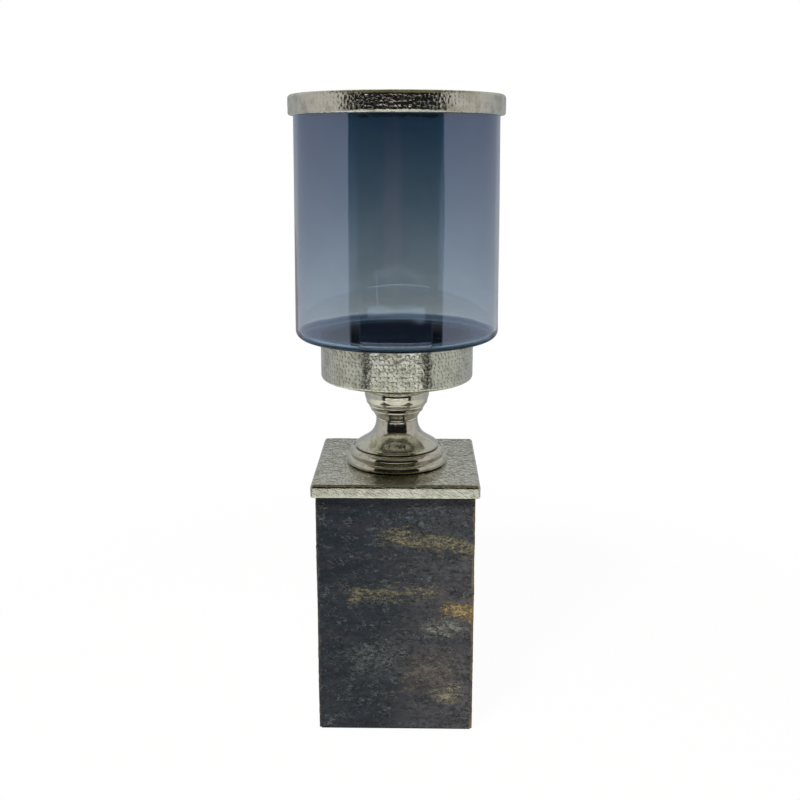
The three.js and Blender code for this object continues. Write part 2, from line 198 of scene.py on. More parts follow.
class Outline:
    """A path in a plane, built from lines, arcs and cubic curves, then sampled."""

    def __init__(self, *start: float) -> None:
        """Starts the path at a point."""
        self.points: list[Array] = [np.array([start], float)]

    @property
    def end(self) -> Array:
        """The last point so far."""
        return self.points[-1][-1]

    def line(self, a: float, b: float) -> "Outline":
        """Goes straight to (a, b)."""
        self.points.append(np.array([[a, b]], float))
        return self

    def arc(self, a: float, b: float, radius: float, start: float, stop: float) -> "Outline":
        """Follows a circle of a radius about (a, b), from one angle to another in degrees."""
        angle = np.radians(np.linspace(start, stop, 33))
        circle = np.stack([a + radius * np.cos(angle), b + radius * np.sin(angle)], axis=1)
        self.points.append(circle)
        return self

    def curve(self, *places: tuple[float, float]) -> "Outline":
        """Follows a cubic Bezier curve, given by two handles and its end point."""
        t = np.linspace(0.0, 1.0, 65)[1:, None]
        p0, p1, p2, p3 = self.end, *(np.array(p, float) for p in places)
        path = (1 - t) ** 3 * p0 + 3 * (1 - t) ** 2 * t * p1 + 3 * (1 - t) * t * t * p2 + t**3 * p3
        self.points.append(path)
        return self

    def sampled(
        self,
        step: float,
        closed: bool = True,
        fine: Callable[[Array], Array] | None = None,
        coarse: float = 3.0,
    ) -> Array:
        """Points along the path: even, or wider apart where it needs less detail.

        Args:
            step: Distance between neighbours, which is rounded to fit the length.
            closed: Whether the path goes back to its start, which is then not repeated.
            fine: Tells where the path is fine. All of it is, if this is left out.
            coarse: How many steps apart the neighbours are elsewhere.

        Returns:
            Points, shape (n, 2).
        """
        path = np.concatenate(self.points)
        if closed:
            path = np.concatenate([path, path[:1]])
        length = np.concatenate([[0.0], np.cumsum(np.hypot(*np.diff(path, axis=0).T))])
        close = np.linspace(0.0, length[-1], 8 * math.ceil(length[-1] / step) + 1)
        points = np.stack([np.interp(close, length, path[:, k]) for k in (0, 1)], axis=1)
        weight = np.where(fine(points), 1.0, 1.0 / coarse) if fine else np.ones(len(points))
        run = np.concatenate([[0.0], np.cumsum(weight[:-1])]) * close[1]
        count = max(4, round(run[-1] / step))
        at = np.interp(np.linspace(0.0, run[-1], count + 1), run, close)
        even = np.stack([np.interp(at, length, path[:, k]) for k in (0, 1)], axis=1)
        return even[:-1] if closed else even


def side_of(path: Array, closed: bool = True) -> Array:
    """Unit vectors square to a path in the plane, to the right of its direction.

    Args:
        path: Points, shape (n, 2).
        closed: Whether the last point is followed by the first.

    Returns:
        Unit vectors, shape (n, 2).
    """
    if closed:
        along = np.roll(path, -1, axis=0) - np.roll(path, 1, axis=0)
    else:
        along = np.gradient(path, axis=0)
    square = np.stack([along[:, 1], -along[:, 0]], axis=1)
    return square / np.maximum(np.linalg.norm(square, axis=1, keepdims=True), 1e-9)


def grid_faces(rows: int, columns: int, wrap_rows: bool, wrap_columns: bool = True) -> Array:
    """Quads that join neighbouring points of a grid.

    Args:
        rows: Number of rows.
        columns: Number of points in a row.
        wrap_rows: Whether the last row joins the first.
        wrap_columns: Whether the last point of a row joins its first.

    Returns:
        Vertex numbers, shape (n, 4).
    """
    i = np.arange(rows if wrap_rows else rows - 1)[:, None]
    j = np.arange(columns if wrap_columns else columns - 1)[None, :]
    i2, j2 = (i + 1) % rows, (j + 1) % columns
    corners = [i * columns + j, i * columns + j2, i2 * columns + j2, i2 * columns + j]
    return np.stack([np.broadcast_to(c, (i.size, j.size)).ravel() for c in corners], axis=1)


def linked(name: str, data: bpy.types.ID) -> bpy.types.Object:
    """A new object in the scene that shows a mesh, a lamp or a camera."""
    made = bpy.data.objects.new(name, data)
    bpy.context.scene.collection.objects.link(made)
    return made


def surface(name: str, grid: Array, wrap_rows: bool = False, crease: float = 50.0) -> bpy.types.Object:
    """A closed object from a grid of points whose rows close on themselves.

    Rows that don't wrap are closed by a face at each end: one polygon, or a fan of triangles
    where the end row is a single point repeated.

    Args:
        name: Name of the object.
        grid: Points in millimetres, shape (rows, columns, 3).
        wrap_rows: Whether the last row joins the first.
        crease: Angle in degrees past which an edge stays sharp.

    Returns:
        The object, at the origin, with its faces pointing out.
    """
    rows, columns = grid.shape[:2]
    points = grid.reshape(-1, 3) * MM
    faces: list[list[int]] = grid_faces(rows, columns, wrap_rows).tolist()
    if not wrap_rows:
        first = np.arange(columns)[::-1]
        faces += [first.tolist(), (first[::-1] + (rows - 1) * columns).tolist()]
    mesh = bpy.data.meshes.new(name)
    mesh.from_pydata(points.tolist(), [], faces)
    tool = bmesh.new()
    tool.from_mesh(mesh)
    bmesh.ops.remove_doubles(tool, verts=tool.verts, dist=1e-7)
    if tool.calc_volume(signed=True) < 0.0:
        bmesh.ops.reverse_faces(tool, faces=tool.faces)
    tool.to_mesh(mesh)
    tool.free()
    mesh.validate()
    mesh.shade_smooth()
    mesh.set_sharp_from_angle(angle=math.radians(crease))
    return linked(name, mesh)


def angles(count: int) -> Array:
    """Angles that go evenly round a full turn, shape (1, count)."""
    return np.linspace(0.0, 2.0 * np.pi, count, endpoint=False)[None, :]


def turned(radius: Array, height: Array, angle: Array) -> Array:
    """Points about the Z axis: (r cos a, r sin a, z) for each radius r, height z and angle a."""
    return np.stack([radius * np.cos(angle), radius * np.sin(angle), height + 0.0 * angle], axis=-1)


def revolved(path: Array, segments: int) -> Array:
    """Turns a path of radius and height, shape (n, 2), to points of shape (n, segments, 3)."""
    return turned(path[:, :1], path[:, 1:], angles(segments))


def pushed(path: Array, segments: int, depth: Callable[[Array, Array, Array], Array]) -> Array:
    """A surface of revolution whose points move along its own normal.

    The point at angle a moves by depth(distance along the path, angle, plain point) times the
    path's side vector turned by the same angle.

    Args:
        path: A closed path of radius and height, anticlockwise, shape (n, 2).
        segments: Number of angles.
        depth: Gives the outward movement in millimetres.

    Returns:
        Points, shape (n, segments, 3).
    """
    plain = revolved(path, segments)
    normal = revolved(side_of(path), segments)
    run = np.concatenate([[0.0], np.cumsum(np.hypot(*np.diff(path, axis=0).T))])[:, None]
    return plain + normal * depth(run, angles(segments), plain)[..., None]


# ------------------------------------------------------------------ finishes


def linear(colour: str) -> tuple[float, float, float, float]:
    """An sRGB hex colour, such as "#3A444A", as linear light with full alpha."""
    parts = [int(colour[i : i + 2], 16) / 255 for i in (1, 3, 5)]
    red, green, blue = (c / 12.92 if c <= 0.04045 else ((c + 0.055) / 1.055) ** 2.4 for c in parts)
    return (red, green, blue, 1.0)


class Field:
    """A value or colour that a node gives. What is worked out from it is a field of the same tree."""

    def __init__(self, socket: bpy.types.NodeSocket) -> None:
        """Wraps a node's output."""
        self.socket = socket

    def made(self, kind: str, inputs: dict, output: str | int = 0, **settings: object) -> "Field":
        """An output of a new node.

        Args:
            kind: The node's type.
            inputs: Socket number or name to its value, or to the field that feeds it.
            output: Name or number of the output.
            **settings: The node's own properties.

        Returns:
            The output as a field.
        """
        return Field(add(self.socket.id_data, kind, inputs, **settings).outputs[output])

    def sum(self, operation: str, *others: "Field | float") -> "Field":
        """One sum of this value and the others, called what the Math node calls it."""
        return self.made("ShaderNodeMath", dict(enumerate((self, *others))), operation=operation)

    def __add__(self, other: "Field | float") -> "Field":
        """This value plus another."""
        return self.sum("ADD", other)

    def __sub__(self, other: "Field | float") -> "Field":
        """This value less another."""
        return self.sum("SUBTRACT", other)

    def __mul__(self, other: "Field | float") -> "Field":
        """This value times another."""
        return self.sum("MULTIPLY", other)

    def __abs__(self) -> "Field":
        """This value without its sign."""
        return self.sum("ABSOLUTE")

    def ramp(self, low: float, high: float, start: float = 0.0, stop: float = 1.0) -> "Field":
        """Eases from `start` where this value is low to `stop` where it's high."""
        values = {"Value": self, "From Min": low, "From Max": high, "To Min": start, "To Max": stop}
        return self.made("ShaderNodeMapRange", values, "Result", interpolation_type="SMOOTHSTEP")

    def blend(self, first: object, second: object) -> "Field":
        """The first colour where this share is 0 and the second where it's 1."""
        colours = [linear(c) if isinstance(c, str) else c for c in (first, second)]
        return self.made("ShaderNodeMix", {0: self, 6: colours[0], 7: colours[1]}, 2, data_type="RGBA")

    def noise(self, grain: float, detail: float = 3.0, rough: float = 0.55) -> "Field":
        """Noise at this place, whose largest blobs are about one grain (mm) across."""
        values = {"Vector": self, "Scale": 1.0 / grain, "Detail": detail, "Roughness": rough}
        return self.made("ShaderNodeTexNoise", values, "Fac")

    def cells(self, size: float, output: str = "Distance") -> "Field":
        """Random cells at this place: the distance to the nearest middle, or its colour."""
        return self.made("ShaderNodeTexVoronoi", {"Vector": self, "Scale": 1.0 / size}, output)

    def vector(self, operation: str, *others: object, output: str | int = 0) -> "Field":
        """One vector sum of this place and the others."""
        values = dict(enumerate((self, *others)))
        return self.made("ShaderNodeVectorMath", values, output, operation=operation)

    def xyz(self) -> tuple["Field", "Field", "Field"]:
        """The three parts of this place."""
        axes = add(self.socket.id_data, "ShaderNodeSeparateXYZ", {0: self})
        return (Field(axes.outputs[0]), Field(axes.outputs[1]), Field(axes.outputs[2]))


def feed(node: Node, inputs: dict) -> None:
    """Sets inputs of a node, or links each to the field that feeds it."""
    for key, value in inputs.items():
        if isinstance(value, Field):
            node.id_data.links.new(value.socket, node.inputs[key])
        else:
            node.inputs[key].default_value = value


def add(tree: Tree, kind: str, inputs: dict | None = None, **settings: object) -> Node:
    """Adds one node with its settings and links.

    Args:
        tree: The node tree it goes in.
        kind: The node's type, such as "ShaderNodeMix".
        inputs: Socket number or name to its value, or to the field that feeds it.
        **settings: The node's own properties.

    Returns:
        The node.
    """
    node = tree.nodes.new(kind)
    for key, value in settings.items():
        setattr(node, key, value)
    feed(node, inputs or {})
    return node


def place(tree: Tree, stretch: Sequence[float] = (1.0, 1.0, 1.0)) -> Field:
    """Object coordinates in millimetres, stretched along X, Y and Z."""
    where = Field(add(tree, "ShaderNodeTexCoord").outputs["Object"])
    scale = [1.0 / MM * s for s in stretch]
    return where.made("ShaderNodeMapping", {"Vector": where, "Scale": scale})


def bump(shader: Node, height: Field, depth: float) -> None:
    """Fine relief of a height from 0 to 1, `depth` millimetres deep."""
    values = {"Height": height, "Distance": depth * MM, "Strength": 1.0}
    feed(shader, {"Normal": height.made("ShaderNodeBump", values, "Normal")})


@dataclass(frozen=True)
class Finish:
    """What a surface is made of. Each real finish adds its own nodes in `dress`."""

    title: str = "Plain"
    colour: str = "#808080"
    roughness: float = 0.5
    metallic: float = 0.0

    def material(self) -> bpy.types.Material:
        """The finish as a material, made once and shared."""
        known = bpy.data.materials.get(self.title)
        if known:
            return known
        made = bpy.data.materials.new(self.title)
        made.use_nodes = True
        shader = made.node_tree.nodes["Principled BSDF"]
        colour = linear(self.colour)
        feed(shader, {"Base Color": colour, "Roughness": self.roughness, "Metallic": self.metallic})
        made.diffuse_color = colour
        self.dress(made.node_tree, shader)
        return made

    def dress(self, tree: Tree, shader: Node) -> None:
        """Adds the nodes that make this finish what it is."""


@dataclass(frozen=True)
class HammeredNickel(Finish):
    """Cast aluminium, hammered, then nickel plated.

    The broad blows are in the mesh. The plating keeps a mirror gloss in them, cut by the fine
    crescents that the edge of the hammer's face leaves. A dark patina stays in the crescents,
    and a faint warm bloom lies between them.
    """

    title: str = "Nickel_plated_aluminium_hammered"
    colour: str = "#D0D1C6"
    bloom: str = "#B9B8A9"
    roughness: float = 0.12
    metallic: float = 1.0
    mark: float = 3.1  # distance between crescents
    mark_depth: float = 0.12
    spot: tuple[float, float] = (0.34, 0.43)  # where the edge of a spot fades, in marks
    shift: tuple[float, float, float] = (0.62, 0.42, 0.0)  # to the spots that leave crescents bare
    radius: float = 0.0  # of a round piece, or 0 for a square plate
    scatter: float = 0.55  # 0 for even rows, 1 for a random spread
    patina: float = 0.6  # how dark a crescent is
    patina_colour: str = "#3B3930"

    def dress(self, tree: Tree, shader: Node) -> None:
        """Adds the crescents, the bloom and the uneven gloss."""
        where = place(tree)
        tone = where.noise(9.0).ramp(0.42, 0.68).blend(self.colour, self.bloom)
        crescent = self.crescents(where)
        tone = (crescent * self.patina).blend(tone, self.patina_colour)
        gloss = where.noise(2.4, 4.0).ramp(0.35, 0.75, self.roughness, self.roughness + 0.14)
        feed(shader, {"Base Color": tone, "Roughness": gloss})
        bump(shader, where.noise(1.1, 2.0) * 0.35 - crescent, self.mark_depth)

    def crescents(self, where: Field) -> Field:
        """Thin crescents, each the part of a round spot that a shifted copy leaves bare.

        The spots lie on the surface laid flat. On a round piece that is the distance round the
        axis by the height. On a square plate it's x + z by y + z, which runs on unbroken from
        the top down over the edges.

        Args:
            where: Object coordinates in millimetres.

        Returns:
            1 in a crescent, 0 elsewhere.
        """
        x, y, z = where.xyz()
        if self.radius:
            flat = {0: x.sum("ARCTAN2", y * -1.0) * self.radius, 1: z}
        else:
            flat = {0: x + z, 1: y + z}
        laid = where.made("ShaderNodeCombineXYZ", flat)
        spots: list[Field] = []
        for centre, ends in ((laid, (1.0, 0.0)), (laid.vector("ADD", self.shift), (0.0, 1.0))):
            values = {"Vector": centre, "Scale": 1.0 / self.mark, "Randomness": self.scatter}
            far = laid.made("ShaderNodeTexVoronoi", values, "Distance", voronoi_dimensions="2D")
            spots.append(far.ramp(*self.spot, *ends))
        return spots[0] * spots[1]


@dataclass(frozen=True)
class PolishedNickel(Finish):
    """Cast aluminium, turned and polished, then nickel plated.

    It shows clear reflections with the soft ripple of a hand-held buff and a few casting pits.
    """

    title: str = "Nickel_plated_aluminium_polished"
    colour: str = "#CBCABF"
    bloom: str = "#B8B6A7"
    roughness: float = 0.08
    metallic: float = 1.0

    def dress(self, tree: Tree, shader: Node) -> None:
        """Adds the buffed ripple, the pits and the bloom."""
        where = place(tree)
        tone = where.noise(7.0).ramp(0.45, 0.7).blend(self.colour, self.bloom)
        gloss = where.noise(1.6, 4.0).ramp(0.4, 0.8, self.roughness, self.roughness + 0.12)
        feed(shader, {"Base Color": tone, "Roughness": gloss})
        pit = where.cells(3.4).ramp(0.05, 0.16)
        bump(shader, where.noise(2.2, 2.0) * 0.75 + pit * 0.25, 0.06)


@dataclass(frozen=True)
class LustreGlass(Finish):
    """Soda-lime glass, blown, smoke blue, with a thin metal-oxide lustre.

    The smoke is deeper towards the rim. The floor and heel are a darker navy: darkest, as a
    painted shade of the dark cup beneath, where the cup lies under the floor, lighter beyond the
    cup's wall and paler in the well. The lustre film adds a pale blue-violet reflection, dimmed
    on the floor and heel.
    """

    title: str = "Soda_lime_glass_smoke_lustre"
    colour: str = "#EBF4FC"
    deep: str = "#6788A3"
    # the floor over the cup: navy, darkened as a painted shade of the dark cup beneath
    floor_and_cup_shade: str = "#1C2E40"
    shelf: str = "#3E5A75"  # the floor beyond the cup's wall, without the painted cup shade
    shelf_radius: float = 56.0
    well: str = "#7089A4"
    roughness: float = 0.012
    floor_top: float = 0.0  # height of the floor's upper face
    deepens: tuple[float, float] = (-0.6, 169.4)  # from and to these heights above it
    fall: float = 0.72  # power of the share, under 1 where the smoke deepens early
    ior: float = 1.5
    film_thickness: float = 35.0  # nanometres
    film_ior: float = 2.0
    film_tint: str = "#FFF2FF"
    # dims the reflection on the floor and heel
    floor_heel_reflection_tint: str = "#5C6874"

    def dress(self, tree: Tree, shader: Node) -> None:
        """Makes it clear, tints it by height and lays the film on it."""
        film = {"Thin Film Thickness": self.film_thickness, "Thin Film IOR": self.film_ior}
        feed(shader, {"Transmission Weight": 1.0, "IOR": self.ior, **film})
        where = place(tree)
        height = where.xyz()[2]
        reach = where.vector("MULTIPLY", (1.0, 1.0, 0.0)).vector("LENGTH", output="Value")
        cloudy = height + where.noise(60.0).ramp(0.3, 0.7, -6.0, 6.0)
        low, high = (self.floor_top + part for part in self.deepens)
        rise = {"Value": cloudy, "From Min": low, "From Max": high}
        share = height.made("ShaderNodeMapRange", rise, "Result").sum("POWER", self.fall)
        floor_and_heel = height.ramp(self.floor_top + 0.2, self.floor_top + 2.6, 1.0, 0.0)
        sunk = height.ramp(self.floor_top - 9.0, self.floor_top - 4.0, 1.0, 0.0)
        beyond = reach.ramp(self.shelf_radius - 3.0, self.shelf_radius + 3.0)
        # Painted shade: the floor is darkest where the cup lies under it and lighter beyond the cup's wall.
        floor_and_cup_shade = sunk.blend(beyond.blend(self.floor_and_cup_shade, self.shelf), self.well)
        tone = floor_and_heel.blend(share.blend(self.colour, self.deep), floor_and_cup_shade)
        tint = floor_and_heel.blend(self.film_tint, self.floor_heel_reflection_tint)
        feed(shader, {"Base Color": tone, "Specular Tint": tint})


@dataclass(frozen=True)
class Rub:
    """One patch where the top coat is rubbed through."""

    height: float  # of its middle
    half: float  # half its height
    start: float  # where it fades in and out, as distance round the pedestal
    stop: float
    slope: float
    ridge: str  # colour on the raised lines
    halo: str  # colour between them
    strength: float = 1.0

    def share(self, round_it: Field, z: Field, ragged: Field) -> Field:
        """How far the top coat is gone: most along the patch's sloping middle, with frayed ends.

        Args:
            round_it: Distance round the pedestal.
            z: Height.
            ragged: Random length that frays the outline.

        Returns:
            A share from 0 to the patch's strength.
        """
        gap = abs(z + ragged - (round_it * self.slope + self.height))
        across = round_it + ragged * 1.3
        share = gap.ramp(0.0, self.half * 1.25, self.strength, 0.0)
        share = share * across.ramp(self.start - 6.0, self.start + 8.0)
        return share * across.ramp(self.stop - 8.0, self.stop + 6.0, 1.0, 0.0)


@dataclass(frozen=True)
class SlateFinish(Finish):
    """Fibreboard under trowelled plaster, painted slate and rubbed back to gold underpaint.

    It shows level streaks of slate blue, teal and plum, raised wrinkles with pale tops
    (dry-brushed paint with a painted highlight) and a painted shadow in their lee, ragged gold
    patches where the top coat is rubbed through, and bare brown arrises.
    """

    title: str = "Trowelled_slate_paint_distressed"
    colour: str = "#2C3136"
    roughness: float = 0.5
    sheen_level: float = 0.26  # share of the usual surface reflection, under a matt wax
    half: float = 0.0  # from the axis to the face
    relief: float = 3.0  # depth of the bump
    rubs: tuple[Rub, ...] = (
        Rub(158.0, 7.0, -8.0, 132.0, -0.17, "#968C69", "#46443A", 0.85),
        Rub(113.0, 5.5, -36.0, 34.0, 0.02, "#8D8564", "#47463C", 0.85),
        Rub(104.0, 7.0, 34.0, 74.0, -0.1, "#B89E62", "#6A5B3A", 0.9),
        Rub(87.0, 6.0, 22.0, 50.0, -0.05, "#A9AC9D", "#4E5048", 0.6),
        Rub(46.0, 20.0, 8.0, 44.0, 0.1, "#857A6C", "#51483F", 0.5),
        Rub(60.0, 18.0, -36.0, 4.0, 0.0, "#8A9088", "#2A3034", 0.34),
        Rub(178.0, 5.0, 8.0, 38.0, 0.1, "#838B8B", "#3B4145", 0.4),
        Rub(30.0, 9.0, 32.0, 50.0, 0.0, "#A39B80", "#4A463E", 0.9),
        Rub(132.0, 8.0, 90.0, 150.0, 0.1, "#8F8666", "#46443A", 0.7),
    )

    def dress(self, tree: Tree, shader: Node) -> None:
        """Layers the streaks, wrinkles, rubbed patches, worn edges and trowel marks."""
        where, level = place(tree), place(tree, (1.0, 1.0, 3.2))
        x, y, z = where.xyz()
        round_it = x + (y + self.half) * 0.6
        lines, crest, painted_lee_shadow = self.crests(tree)
        # Pale tops of the wrinkles: dry-brushed paint together with a painted highlight on each ridge.
        pale_tops_paint_and_highlight = crest * level.noise(15.0).ramp(0.42, 0.68, 0.2, 0.8)
        tone = pale_tops_paint_and_highlight.blend(self.streaks(tree, level, round_it, z), "#6E7677")
        # Painted shadow: the lee beside each wrinkle is darkened.
        tone = (painted_lee_shadow * 0.8).blend(tone, "#0A0D10")
        ragged = level.noise(12.0, 6.0, 0.72).ramp(0.2, 0.8, -9.0, 9.0)
        for rub in self.rubs:
            share = rub.share(round_it, z, ragged)
            tone = (share * 0.65).blend(tone, rub.halo)
            tone = (share * lines).blend(tone, rub.ridge)
        crumb = self.crumbs(tree, level)
        tone = (crumb * 0.45).blend(tone, "#8E938D")
        bare = self.edge(where) * round_it.ramp(-50.0, 30.0, 0.25, 1.0)
        tone = bare.blend(tone, "#7A6848")
        gloss = level.noise(9.0, 4.0).ramp(0.3, 0.7, self.roughness - 0.1, self.roughness + 0.18)
        feed(shader, {"Specular IOR Level": self.sheen_level, "Base Color": tone, "Roughness": gloss})
        grit = place(tree, (1.0, 1.0, 1.4)).noise(1.9, 4.0, 0.6)
        bump(shader, grit * 0.4 + crest * 0.16 + crumb * 0.12, self.relief)

    def crumbs(self, tree: Tree, level: Field) -> Field:
        """Crumbs of plaster, 1 on a crumb: round spots in a third of the cells, in loose groups."""
        bent = place(tree, (1.0, 1.0, 1.6))
        jitter = bent.made("ShaderNodeTexNoise", {"Vector": bent, "Scale": 0.7, "Detail": 2.0}, "Color")
        bent = jitter.vector("MULTIPLY_ADD", (2.4,) * 3, bent)
        spot = bent.cells(2.8).ramp(0.12, 0.34, 1.0, 0.0)
        chosen = bent.cells(2.8, "Color").ramp(0.6, 0.72)
        return spot * chosen * level.noise(19.0, 4.0).ramp(0.47, 0.6)

    def streaks(self, tree: Tree, level: Field, round_it: Field, z: Field) -> Field:
        """The slate top coat: level streaks of several greys, paler and warmer low on the right.

        Args:
            tree: The node tree.
            level: Place, squeezed so that noise on it lies in level streaks.
            round_it: Distance round the pedestal.
            z: Height.

        Returns:
            The colour.
        """
        tone = level.noise(34.0, 5.0, 0.62).ramp(0.34, 0.66).blend("#1A232C", "#2C3037")
        for stretch, grain, ends, tint in (
            ((1.3, 1.1, 2.4), 27.0, (0.5, 0.66), "#1E2E35"),  # teal
            ((0.9, 1.2, 2.9), 31.0, (0.54, 0.68), "#332F3C"),  # plum
        ):
            tone = (place(tree, stretch).noise(grain, 4.0).ramp(*ends) * 0.55).blend(tone, tint)
        pale = round_it.ramp(-34.0, 56.0, 0.0, 0.9) * z.ramp(125.0, 190.0, 1.0, 0.55)
        worn = level.noise(24.0, 5.0, 0.65).ramp(0.36, 0.62, 0.42, 0.92)
        tone = (pale * worn).blend(tone, "#5A575A")
        mottle = place(tree, (1.0, 1.0, 1.7)).noise(4.5, 6.0, 0.66).ramp(0.42, 0.6)
        return (mottle * 0.45).blend(tone, "#0E1216")

    def crests(self, tree: Tree) -> tuple[Field, Field, Field]:
        """The tops of the raised wrinkles, where a noise field crosses its middle value.

        Beside each top lies the lee, where the field is a little past the middle value; it is
        darkened there as a painted shadow of the ridge.

        Args:
            tree: The node tree.

        Returns:
            Three shares from 0 to 1: the fine wandering lines whole, the same broken up, and
            their lee for the painted shadow, broken up alike.
        """
        tops: list[Field] = []
        painted_lee_shadows: list[Field] = []
        for grain, width in ((8.5, 0.036), (4.8, 0.046)):
            field = place(tree, (1.0, 1.0, 2.0)).noise(grain, 3.0, 0.6)
            tops.append(abs(field - 0.5).ramp(0.0, width, 1.0, 0.0))
            # the lee beside each crest, darkened later as a painted shadow
            painted_lee_shadows.append(abs(field - (0.5 + 2.2 * width)).ramp(0.0, width, 1.0, 0.0))
        whole, painted_lee_shadow = (pair[0].sum("MAXIMUM", pair[1]) for pair in (tops, painted_lee_shadows))
        gate = place(tree).noise(7.0, 4.0, 0.65).ramp(0.47, 0.54)
        return whole, whole * gate, painted_lee_shadow * gate

    def edge(self, where: Field) -> Field:
        """Share of bare board on the upright arrises, where |x| and |y| are both near the half side."""
        x, y, _ = where.xyz()
        inner = abs(x).sum("MINIMUM", abs(y))
        ragged = where.noise(6.0, 5.0, 0.7).ramp(0.3, 0.7, -1.1, 1.1)
        return (inner + ragged).ramp(self.half - 2.0, self.half - 0.4, 0.0, 0.85)


@dataclass(frozen=True)
class Fibreboard(Finish):
    """Medium density fibreboard, sawn: matt brown with fine pale and dark fibres."""

    title: str = "Fibreboard_sawn"
    colour: str = "#A88C66"
    dark: str = "#8A6E4B"
    roughness: float = 0.85
    fibre: float = 1.4

    def dress(self, tree: Tree, shader: Node) -> None:
        """Adds the fibres."""
        fibres = place(tree, (1.0, 1.0, 2.5)).noise(self.fibre, 5.0, 0.7)
        feed(shader, {"Base Color": fibres.ramp(0.35, 0.65).blend(self.colour, self.dark)})
        bump(shader, fibres, 0.12)


@dataclass(frozen=True)
class Felt(Finish):
    """Pressed wool felt: matt black with a pale fuzz and a tangle of short fibres."""

    title: str = "Wool_felt_pressed"
    colour: str = "#1C1C1F"
    pale: str = "#34343A"
    roughness: float = 0.95
    fibre: float = 0.8

    def dress(self, tree: Tree, shader: Node) -> None:
        """Adds the tangle and the fuzz."""
        tangle = place(tree).noise(self.fibre, 6.0, 0.75)
        tone = tangle.ramp(0.4, 0.7).blend(self.colour, self.pale)
        feed(shader, {"Sheen Weight": 0.3, "Base Color": tone})
        bump(shader, tangle, 0.3)


@dataclass(frozen=True)
class Silicone(Finish):
    """Clear silicone, moulded: milky, half clear, with a soft gloss."""

    title: str = "Silicone_clear_moulded"
    colour: str = "#C6CACD"
    milky: str = "#AEB3B8"
    roughness: float = 0.38

    def dress(self, tree: Tree, shader: Node) -> None:
        """Adds the milky clouding."""
        cloud = place(tree).noise(5.0)
        tone = cloud.blend(self.colour, self.milky)
        feed(shader, {"Transmission Weight": 0.45, "IOR": 1.41, "Base Color": tone})
        bump(shader, cloud, 0.05)


@dataclass(frozen=True)
class ZincSteel(Finish):
    """Cold-formed steel, zinc plated: grey with a faint spangle and drawn lines."""

    title: str = "Steel_zinc_plated"
    colour: str = "#B4B7BB"
    dull: str = "#94979C"
    roughness: float = 0.32
    metallic: float = 1.0

    def dress(self, tree: Tree, shader: Node) -> None:
        """Adds the spangle and the drawn lines."""
        spangle = place(tree).cells(1.8, "Color").ramp(0.2, 0.9)
        feed(shader, {"Base Color": spangle.blend(self.colour, self.dull)})
        bump(shader, place(tree, (1.0, 1.0, 0.2)).noise(0.5), 0.02)


def install(piece: bpy.types.Object, body: Body, slot: Slot, finish: Finish, *nodes: str) -> None:
    """Dresses a finished piece and fixes it to the frame.

    Args:
        piece: The piece, in place.
        body: The body that it moves with.
        slot: The record's slot that it belongs to; not used.
        finish: Its finish.
        *nodes: The CAD nodes that it stands for.
    """
    piece.data.materials.clear()
    piece.data.materials.append(finish.material())
    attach(piece, body.value)
    if nodes:
        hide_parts(*nodes)
    log.info("%s: %d faces, on %s", piece.name, len(piece.data.polygons), body.value)


def dress_node(node: str, finish: Finish) -> None:
    """Gives a CAD node that stays in view its finish.

    Args:
        node: The node's name.
        finish: Its finish.
    """
    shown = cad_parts[node]
    shown.data.materials.clear()
    shown.data.materials.append(finish.material())
    log.info("%s keeps its CAD shape", node)


# ------------------------------------------------------------------ rim ring


@dataclass
class RimRing:
    """The hammered channel on the rim of the glass, with its cushion."""

    fit: float = 0.6
    glass_wall: float = 2.8
    outer_wall: float = 3.3
    inner_wall: float = 2.4
    web: float = 3.0
    step: float = 0.5
    segments: int = 1000
    blow_pitch: float = 2.4
    blow_depth: float = 0.28
    lower_curve: float = 1.9  # radius of the outer wall's lower edge
    upper_curve: float = 2.9
    inner_curve: float = 1.8
    eased: float = 0.5  # radius at the foot of the slot

    def outline(self) -> Array:
        """The channel's section, anticlockwise from the foot of its outer wall.

        Returns:
            Radius and height, shape (n, 2).
        """
        outer, low, high = span("top_ring")
        slot_outer = outer - self.outer_wall
        slot_inner = slot_outer - 2 * self.fit - self.glass_wall
        inner = slot_inner - self.inner_wall
        foot = self.inner_wall / 2
        path = Outline(slot_outer, low + self.eased)
        for a, b, radius, start, stop in (
            (slot_outer + self.eased, low + self.eased, self.eased, 180, 270),
            (outer - self.lower_curve, low + self.lower_curve, self.lower_curve, -90, 0),
            (outer - self.upper_curve, high - self.upper_curve, self.upper_curve, 0, 90),
            (inner + self.inner_curve, high - self.inner_curve, self.inner_curve, 90, 180),
            (inner + foot, low + foot, foot, 180, 360),
        ):
            path.arc(a, b, radius, start, stop)
        path.line(slot_inner, high - self.web).line(slot_outer, high - self.web)

        def in_view(points: Array) -> Array:
            """Whether a point is on the outer wall or the top."""
            return (points[:, 0] > slot_outer + 0.6) | (points[:, 1] > high - 1.5)

        return path.sampled(self.step, fine=in_view)

    def build(self) -> None:
        """Builds and dresses the ring, and dresses its cushion."""
        path = self.outline()
        outer = span("top_ring")[0]
        out = side_of(path)
        hammered = (path[:, 0] > outer - self.outer_wall) & ((out[:, 0] > 0.15) | (out[:, 1] > 0.3))
        share = hammered.astype(float)[:, None]

        def depth(run: Array, angle: Array, point: Array) -> Array:
            """Blows driven in by up to blow_depth, on a slow wave of the rolled ring."""
            blows = round_blows(angle, run, outer, self.blow_pitch, 11)
            wave = drift(point, 38.0, 3) * 0.16 + drift(point, 9.0, 4) * 0.06
            return share * (-self.blow_depth * blows + 0.1 * wave - 0.02)

        ring = surface("rim_ring", pushed(path, self.segments, depth), wrap_rows=True)
        title = "Nickel_plated_aluminium_planished"
        finish = HammeredNickel(title, mark_depth=0.05, radius=outer, patina=0.12)
        install(ring, Body.RING, Slot.HAMMERED, finish, "top_ring")
        dress_node("rim_cushion", Silicone())


# ------------------------------------------------------------------ glass


